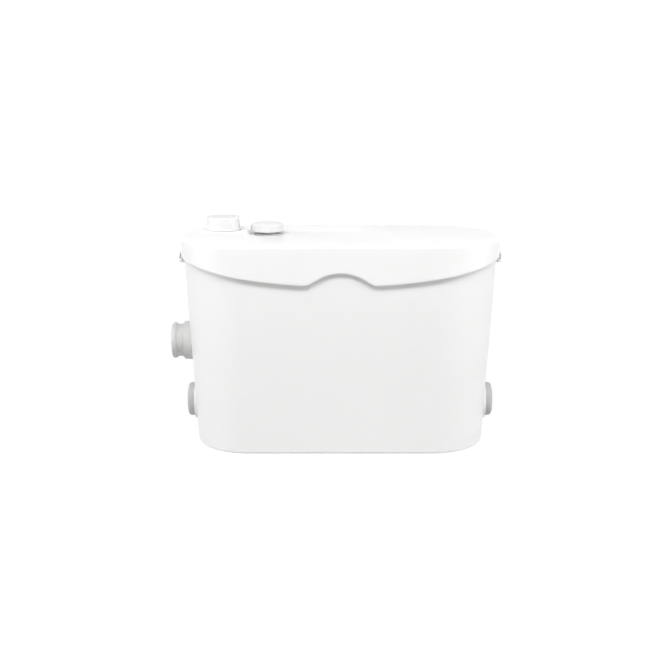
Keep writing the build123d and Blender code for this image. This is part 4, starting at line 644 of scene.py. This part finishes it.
class PUMP_OT_lid(bpy.types.Operator):
    """Make the lid: its skirt with the raised wave, its rounded rim, its well and its underside."""

    bl_idname = "pump.lid"
    bl_label = "Lid"

    def execute(self, context):
        sizes = context.scene.pump_sizes
        centre, normal = outline(sizes.lid_half_width, sizes.lid_half_depth, sizes.lid_corner)
        run_x, run_y = np.abs(centre).max(0)

        def rows(insets, heights):
            """Points at insets from the outline: out from the corner centres, or, further in, on the
            rectangle of those centres shrunk by what is left of the inset."""
            insets = np.atleast_1d(insets)[:, None]
            keep = np.maximum(sizes.lid_corner - insets, 0.0)
            left = np.maximum(insets - sizes.lid_corner, 0.0)
            x = np.clip(centre[:, 0], left - run_x, run_x - left) + keep * normal[:, 0]
            y = np.clip(centre[:, 1], left - run_y, run_y - left) + keep * normal[:, 1]
            z = heights(x, y, insets) if callable(heights) else heights
            return np.stack([x, y, z + 0 * x], -1)

        def top(x, y, inset):
            return lid_height(x, y, inset, sizes)

        def under(x, y, inset):
            return lid_height(x, y, inset, sizes) - sizes.lid_skin

        point = rows(0.0, 0.0)[0]
        edge = skirt_edge(point[:, 0], point[:, 1], sizes)[None]
        rim_low = sizes.lid_top - sizes.rim_crown - sizes.lid_edge
        wall, half = sizes.skirt_wall, sizes.skirt_wall / 2
        roof = sizes.lid_top - sizes.skirt_roof
        start = edge + half
        insets = np.linspace(sizes.lid_edge, sizes.lid_half_depth, 66)[1:]
        turn = np.linspace(0, np.pi, 7)[:, None]
        curl = np.linspace(0, np.pi / 2, 10)[1:, None]
        share = np.linspace(0, 1, 12)[:, None]
        inner, outer = sizes.lip_inset + sizes.lip_width, sizes.lip_inset
        lip = np.array([inner, inner - 0.2 * MM, outer + 0.2 * MM, outer])
        bevel = np.array([0.3, 0.0, 0.0, 0.3])[:, None] * MM
        shell = [
            rows(insets[::-1][:-2], under),
            rows(lip, sizes.lip_low + bevel),
            rows([sizes.lip_inset, sizes.land_inset], sizes.land_low),
            rows([sizes.land_inset, wall], roof),
            rows(wall + 0 * share[1:-1, 0], roof + (start - roof) * share[1:-1]),
            rows(half + half * np.cos(turn[:, 0]), start - half * np.sin(turn)),
            rows(0 * share[1:, 0], start + (rim_low - start) * share[1:]),
            rows(sizes.lid_edge * (1 - np.cos(curl[:, 0])), rim_low + sizes.lid_edge * np.sin(curl)),
            rows(insets, top),
        ]
        reach, proud = 9.0, 0.8
        rib = rounded([(-reach, 0, 0), (-reach, proud, 0.4), (reach, proud, 0.4), (reach, 0, 0)])
        ends = [(side * sizes.lid_half_width, 0.0, CATCH_HEIGHT) for side in (-1, 1)]
        ribs = [turned(end, (0, 1, 0), rib, 24) for end in ends]
        holes = [
            (*cap_middle("discharge_cap"), sizes.spigot_hole),
            (*cap_middle("vent_cap"), sizes.vent_hole),
        ]
        add_piece("lid_shell", [np.concatenate(shell), *ribs], "lid_plastic", "lid", ["lid"], holes)
        return {"FINISHED"}


class PUMP_OT_discharge_cap(bpy.types.Operator):
    """Make the tall cap over the outlet: a hollow drum with shallow ribs and a dished top."""

    bl_idname = "pump.discharge_cap"
    bl_label = "Discharge cap"

    def execute(self, context):
        low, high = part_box("discharge_cap")
        base, top = low.z / MM, high.z / MM
        reach = (high.x - low.x) / 2 / MM
        ceiling, dish = base + 14.1, top - 0.5
        profile = [
            (ceiling, 0, 0),
            (ceiling, reach - 3.8, 0.8),
            (base, reach - 2.6, 0.3),
            (base, reach, 0.3),
            (base + 1.6, reach - 0.1, 0.4),
        ]
        for rib in range(4):
            level, face = base + 2.6 + 3.2 * rib, reach - 0.25 - 0.25 * rib
            groove = (level + 0.5, face - 0.18, 0.2)
            profile += [(level, face, 0.3), groove, (level + 1.0, face, 0.3)]
        profile += [(top, reach - 1.5, 1.7), (top, reach - 4.2, 0.9), (dish, reach - 5.0, 0.9), (dish, 0, 0)]
        grid = turned((*cap_middle("discharge_cap"), 0.0), (0, 0, 1), rounded(profile))
        add_piece("discharge_cap_shell", [grid], "cap_plastic", "discharge_cap", ["discharge_cap"])
        return {"FINISHED"}


class PUMP_OT_vent(bpy.types.Operator):
    """Make the vent: the flanged tube with its drilled floor, and the mushroom cap over it."""

    bl_idname = "pump.vent"
    bl_label = "Vent"

    def execute(self, context):
        sizes = context.scene.pump_sizes
        x, y = cap_middle("vent_cap")
        low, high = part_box("vent_body")
        floor, neck = low.z / MM, high.z / MM
        seat = (sizes.lid_top - sizes.well_depth) / MM
        tube, bore, flange, flange_top = 15.0, 12.8, 18.0, seat + 1.8
        floor_top, step = floor + 2.2, 0.8
        body = [
            *((floor, radius, 0) for radius in np.arange(0.0, tube - step / 2, step)),
            (floor, tube, 0.5),
            (seat, tube, 0),
            (seat, flange, 0.3),
            (flange_top, flange, 0.5),
            (flange_top, tube, 0.1),
            (neck, tube, 0.4),
            (neck, bore, 0.4),
            (floor_top, bore, 0.4),
            *((floor_top, radius, 0) for radius in np.arange(bore - step, -step / 8, -step)),
        ]
        grid = turned((x, y, 0.0), (0, 0, 1), rounded(body), 120)
        ring, drill, count = 0.0077, 0.0023, 6
        spokes = (np.arange(count) * 2 * np.pi / count).tolist()
        holes = [(x + ring * np.cos(spoke), y + ring * np.sin(spoke), drill) for spoke in spokes]
        add_piece("vent_tube", [grid], "cap_plastic", "lid", ["vent_body"], holes)

        low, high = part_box("vent_cap")
        top, base = high.z / MM, (sizes.lid_top - sizes.vent_cap_hang) / MM
        reach, plug, ceiling, flutes = (high.x - low.x) / 2 / MM, 12.4, top - 5.5, 30
        mushroom = [
            (low.z / MM, 0, 0),
            (low.z / MM, plug, 0.5),
            (ceiling, plug, 0.8),
            (ceiling, reach - 2.8, 1.2),
            (base, reach - 2.2, 0.4),
            (base, reach, 0.9),
            (top - 2.9, reach, 1.8),
            (top - 1.1, reach - 7.0, 4.0),
            (top, 6.0, 5.0),
            (top, 0, 0),
        ]

        def grips(profile, turn):
            """Shallow flutes on the side alone: a cosine round the cap, eased out above and below."""
            along, radius = profile.T / MM
            side = eased((along - base - 1.0) / 1.5) * eased((top - 3.6 - along) / 1.5)
            side = side * (radius > reach - 1.0)
            return sizes.vent_cap_flute * side[:, None] * (0.5 + 0.5 * np.cos(flutes * turn))[None]

        grid = turned((x, y, 0.0), (0, 0, 1), rounded(mushroom, 8), 240, grips)
        add_piece("vent_cap_shell", [grid], "cap_plastic", "vent_cap", ["vent_cap"])
        return {"FINISHED"}


class PUMP_OT_clips(bpy.types.Operator):
    """Make the two side clips: a thin hooked leaf, two arms and two knuckles on the pin."""

    bl_idname = "pump.clips"
    bl_label = "Side clips"

    def execute(self, context):
        sizes = context.scene.pump_sizes
        reach, roll_half = sizes.clip_knuckle / MM, 4.5
        roll = [(-roll_half, 0, 0), (-roll_half, reach, 0.5), (roll_half, reach, 0.5), (roll_half, 0, 0)]
        bend = [(1.75, 3.3), (2.05, 5.0)]
        arm_path, leaf_path = [(0.9, 0.2), *bend], [*bend, (2.6, 9.7)]
        leaf, arm = sizes.clip_leaf_half, sizes.clip_arm_half
        for side, name in ((-1, "left_clip"), (1, "right_clip")):
            pin = (side * PIN_REACH, 0.0, PIN_HEIGHT)
            grids = [ribbon(pin, side, leaf_path, sizes.clip_thick, -leaf, leaf)]
            for middle in (-ARM_MIDDLE, ARM_MIDDLE):
                grids.append(turned((pin[0], middle, pin[2]), (0, 1, 0), rounded(roll), 40))
                grids.append(ribbon(pin, side, arm_path, 1.2 * sizes.clip_thick, middle - arm, middle + arm))
            add_piece(name + "_hook", grids, "clip_plastic", name, [name])
        return {"FINISHED"}


class PUMP_OT_sleeve(bpy.types.Operator):
    """Make the grey rubber inlet sleeve with its collar, waist and rolled lip."""

    bl_idname = "pump.sleeve"
    bl_label = "Inlet sleeve"

    def execute(self, context):
        low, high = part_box("upper_inlet_sleeve")
        tail, step, stem, stop, bore, collar = -18.0, -6.0, 22.2, 17.0, 20.15, 25.9
        profile = [
            (tail, 19.0, 0),
            (tail, stem, 0.3),
            (step, stem, 0.2),
            (step, collar + 0.45, 0.2),
            (0.0, collar + 0.45, 0.8),
            (0.6, collar, 0.5),
            (8.0, collar, 0.6),
            (8.4, 25.0, 0.2),
            (8.5, 22.7, 0.3),
            (9.1, 22.5, 0.2),
            (9.3, 23.1, 0.2),
            (10.3, 23.0, 0.2),
            (10.6, 22.1, 0.3),
            (14.0, 21.7, 2.0),
            (17.4, 21.9, 0.8),
            (18.2, 23.2, 0.6),
            (19.9, 24.2, 0.8),
            (23.4, 24.3, 1.6),
            (24.6, 22.4, 1.0),
            (23.2, 20.7, 1.0),
            (20.0, bore, 1.0),
            (-8.0, bore, 0.5),
            (-8.6, stop, 0.6),
            (tail, stop, 0.5),
            (tail, 19.0, 0),
        ]
        middle = (SLEEVE_FACE, (low.y + high.y) / 2, (low.z + high.z) / 2)
        grid = turned(middle, (-1, 0, 0), rounded(profile), 128)
        add_piece("inlet_sleeve", [grid], "inlet_rubber", "tank", ["upper_inlet_sleeve"])
        return {"FINISHED"}


class PUMP_OT_bungs(bpy.types.Operator):
    """Make the two grey rubber bungs with their rounded heads."""

    bl_idname = "pump.bungs"
    bl_label = "Bungs"

    def execute(self, context):
        head, dish, stem, reach = 9.6, 9.3, 19.85, 22.7
        profile = [
            (-12.0, 0, 0),
            (-12.0, stem, 1.2),
            (0.0, stem, 0.3),
            (0.0, reach - 0.7, 0.4),
            (0.5, reach, 0.5),
            (head, reach, 6.2),
            (head, 12.0, 4.0),
            (dish, 11.0, 0.8),
            (dish, 0, 0),
        ]
        for side, name in ((-1, "lower_left_bung"), (1, "lower_right_bung")):
            low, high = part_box(name)
            middle = (side * BUNG_FACE, (low.y + high.y) / 2, (low.z + high.z) / 2)
            grid = turned(middle, (side, 0, 0), rounded(profile, 10), 128)
            bung = add_piece(name + "_shell", [grid], "inlet_rubber", name, [name])
            # The bungs swap in the darker copy of the inlet rubber, a painted shade
            bung.data.materials[0] = finishes["bung_rubber_painted_shade"]
        return {"FINISHED"}


class PUMP_OT_hose(bpy.types.Operator):
    """Make the riser hose, with cosine ribs between two plain cuffs."""

    bl_idname = "pump.hose"
    bl_label = "Riser hose"

    def execute(self, context):
        sizes = context.scene.pump_sizes
        low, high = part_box("riser_hose")
        low_cuff, high_cuff, run_out = 0.014, 0.012, 0.003
        height = np.linspace(low.z, high.z, 241)
        ribbed = eased((height - low.z - low_cuff) / run_out) * eased((high.z - high_cuff - height) / run_out)
        wave = 0.5 - 0.5 * np.cos(2 * np.pi * (height - low.z) / sizes.hose_pitch)
        outside = np.stack([height, (high.x - low.x) / 2 - sizes.hose_rib * ribbed * wave], -1)
        inside = np.array([(high.z, sizes.hose_bore), (low.z, sizes.hose_bore), tuple(outside[0])])
        middle = (*cap_middle("discharge_cap"), 0.0)
        grid = turned(middle, (0, 0, 1), np.concatenate([outside, inside]), 72)
        add_piece("ribbed_riser_hose", [grid], "black_rubber", "tank", ["riser_hose"])
        return {"FINISHED"}


class PUMP_OT_lead(bpy.types.Operator):
    """Make the motor's lead, which arches from the motor's cover to the control box."""

    bl_idname = "pump.lead"
    bl_label = "Motor lead"

    def execute(self, context):
        # The route is a cubic curve: its ends, and how high its two handles stand above them.
        start, end = np.array((0.059, 0.024, 0.211)), np.array((0.132, 0.024, 0.231))
        lift_start, lift_end = np.array((0.0, 0.0, 0.046)), np.array((0.0, 0.0, 0.019))
        t = np.linspace(0, 1, 60)[:, None]
        path = (1 - t) ** 3 * start + 3 * (1 - t) ** 2 * t * (start + lift_start)
        path = path + 3 * (1 - t) * t**2 * (end + lift_end) + t**3 * end
        lead = tube(path, (0.0, 1.0, 0.0), context.scene.pump_sizes.lead_radius)
        add_piece("motor_lead_cable", [lead], "black_rubber", "tank", ["motor_lead"])
        return {"FINISHED"}


def make_floor(studio):
    """A flat floor. What the camera sees of it is mostly plain white, and near the object it keeps a
    share of its shade: that share falls off in a straight line with the distance."""
    paint = Finish("floor_white")
    plain = paint.node("ShaderNodeBsdfDiffuse", {}, {"Color": (*studio.floor, 1.0)})
    glow = paint.node("ShaderNodeEmission", {}, {"Color": WHITE, "Strength": studio.floor_white})
    away = paint.node("ShaderNodeVectorMath", {"operation": "LENGTH"}, {0: paint.place}, "Value")
    near = ((studio.shade_far - away) * (1 / (studio.shade_far - studio.shade_near))).limited()
    share = paint.shown_rays() * (1.0 - (1.0 - studio.floor_glow) * near)
    mixed = paint.node("ShaderNodeMixShader", {}, {0: share, 1: plain, 2: glow})
    paint.node("ShaderNodeOutputMaterial", {}, {"Surface": mixed})
    cells = 8
    across = np.linspace(-studio.floor_half, studio.floor_half, cells + 1)
    x, y = np.meshgrid(across, across)
    points = np.stack([x.ravel(), y.ravel(), np.zeros(x.size)], -1)
    row, column = np.divmod(np.arange(cells * cells), cells)
    corner = row * (cells + 1) + column
    quads = np.stack([corner, corner + 1, corner + cells + 2, corner + cells + 1], -1)
    mesh = bpy.data.meshes.new("floor")
    mesh.from_pydata(points.tolist(), [], quads.tolist())
    mesh.materials.append(paint.owner)
    floor = bpy.data.objects.new("floor", mesh)
    bpy.context.scene.collection.objects.link(floor)


def make_world(studio):
    """An even light, and plain white for the rays that see the background."""
    world = bpy.data.worlds.new("studio")
    air = Tree(world)
    light = air.node("ShaderNodeBackground", {}, {"Color": WHITE, "Strength": studio.sky})
    shown = air.node("ShaderNodeBackground", {}, {"Color": WHITE, "Strength": 1.0})
    mixed = air.node("ShaderNodeMixShader", {}, {0: air.shown_rays(), 1: light, 2: shown})
    air.node("ShaderNodeOutputWorld", {}, {"Surface": mixed})
    bpy.context.scene.world = world


def make_lamp(name, place, width, depth, lamp_power):
    """A rectangular lamp that looks at the middle of the tank."""
    lamp = bpy.data.lights.new(name, "AREA")
    lamp.shape = "RECTANGLE"
    lamp.size, lamp.size_y = width, depth
    lamp.energy = lamp_power
    made = bpy.data.objects.new(name, lamp)
    made.location = place
    aim = Vector((0, 0, 0.14)) - Vector(place)
    made.rotation_euler = aim.to_track_quat("-Z", "Y").to_euler()
    bpy.context.scene.collection.objects.link(made)


def make_camera(studio):
    """The camera, at the picture's place and with its angle."""
    camera = bpy.data.cameras.new("camera")
    camera.sensor_width = SENSOR_WIDTH
    camera.lens = studio.focal_pixels * SENSOR_WIDTH / IMAGE_SIZE
    view = bpy.data.objects.new("camera", camera)
    view.location = (-studio.aside, -studio.distance, studio.height)
    view.rotation_euler = (np.pi / 2 - studio.pitch, 0, 0)
    bpy.context.scene.collection.objects.link(view)
    bpy.context.scene.camera = view


class PUMP_OT_studio(bpy.types.Operator):
    """Make the floor, the even light, the lamps and the camera."""

    bl_idname = "pump.studio"
    bl_label = "Studio"

    def execute(self, context):
        studio = context.scene.pump_studio
        context.scene.view_settings.view_transform = "Standard"
        make_floor(studio)
        make_world(studio)
        make_lamp("lamp_key", (0.0, -0.92, 1.5), 2.2, 0.45, studio.key_light)
        make_lamp("lamp_front", (0.0, -2.2, 0.65), 2.5, 0.8, studio.fill_light)
        make_lamp("lamp_left", (-1.7, -0.3, 0.55), 1.0, 1.0, studio.side_light)
        make_lamp("lamp_right", (1.7, -0.3, 0.55), 1.0, 1.0, studio.side_light)
        make_lamp("lamp_back", (0.0, 2.0, 0.13), 2.0, 0.24, studio.back_light)
        make_camera(studio)
        return {"FINISHED"}


class PUMP_PT_panel(bpy.types.Panel):
    """Lists the pump's pieces and its studio."""

    bl_idname = "PUMP_PT_panel"
    bl_label = "Grey water pump"
    bl_space_type = "VIEW_3D"
    bl_region_type = "UI"
    bl_category = "Pump"

    def draw(self, context):
        for operator in operators:
            self.layout.operator(operator.bl_idname)


operators = (
    PUMP_OT_finishes,
    PUMP_OT_lid,
    PUMP_OT_discharge_cap,
    PUMP_OT_vent,
    PUMP_OT_clips,
    PUMP_OT_sleeve,
    PUMP_OT_bungs,
    PUMP_OT_hose,
    PUMP_OT_lead,
    PUMP_OT_studio,
)
groups = (PumpSizes, PumpFinishes, PumpStudio)


def register():
    """Registers the classes and puts the settings on the scene."""
    for item in (*groups, *operators, PUMP_PT_panel):
        bpy.utils.register_class(item)
    bpy.types.Scene.pump_sizes = bpy.props.PointerProperty(type=PumpSizes)
    bpy.types.Scene.pump_finishes = bpy.props.PointerProperty(type=PumpFinishes)
    bpy.types.Scene.pump_studio = bpy.props.PointerProperty(type=PumpStudio)


def unregister():
    """Takes the settings and the classes away again."""
    del bpy.types.Scene.pump_sizes
    del bpy.types.Scene.pump_finishes
    del bpy.types.Scene.pump_studio
    for item in reversed((*groups, *operators, PUMP_PT_panel)):
        bpy.utils.unregister_class(item)


def main():
    """Builds every piece in order."""
    register()
    bpy.ops.pump.finishes()
    bpy.ops.pump.lid()
    bpy.ops.pump.discharge_cap()
    bpy.ops.pump.vent()
    bpy.ops.pump.clips()
    bpy.ops.pump.sleeve()
    bpy.ops.pump.bungs()
    bpy.ops.pump.hose()
    bpy.ops.pump.lead()
    bpy.ops.pump.studio()


if __name__ == "__main__":
    main()
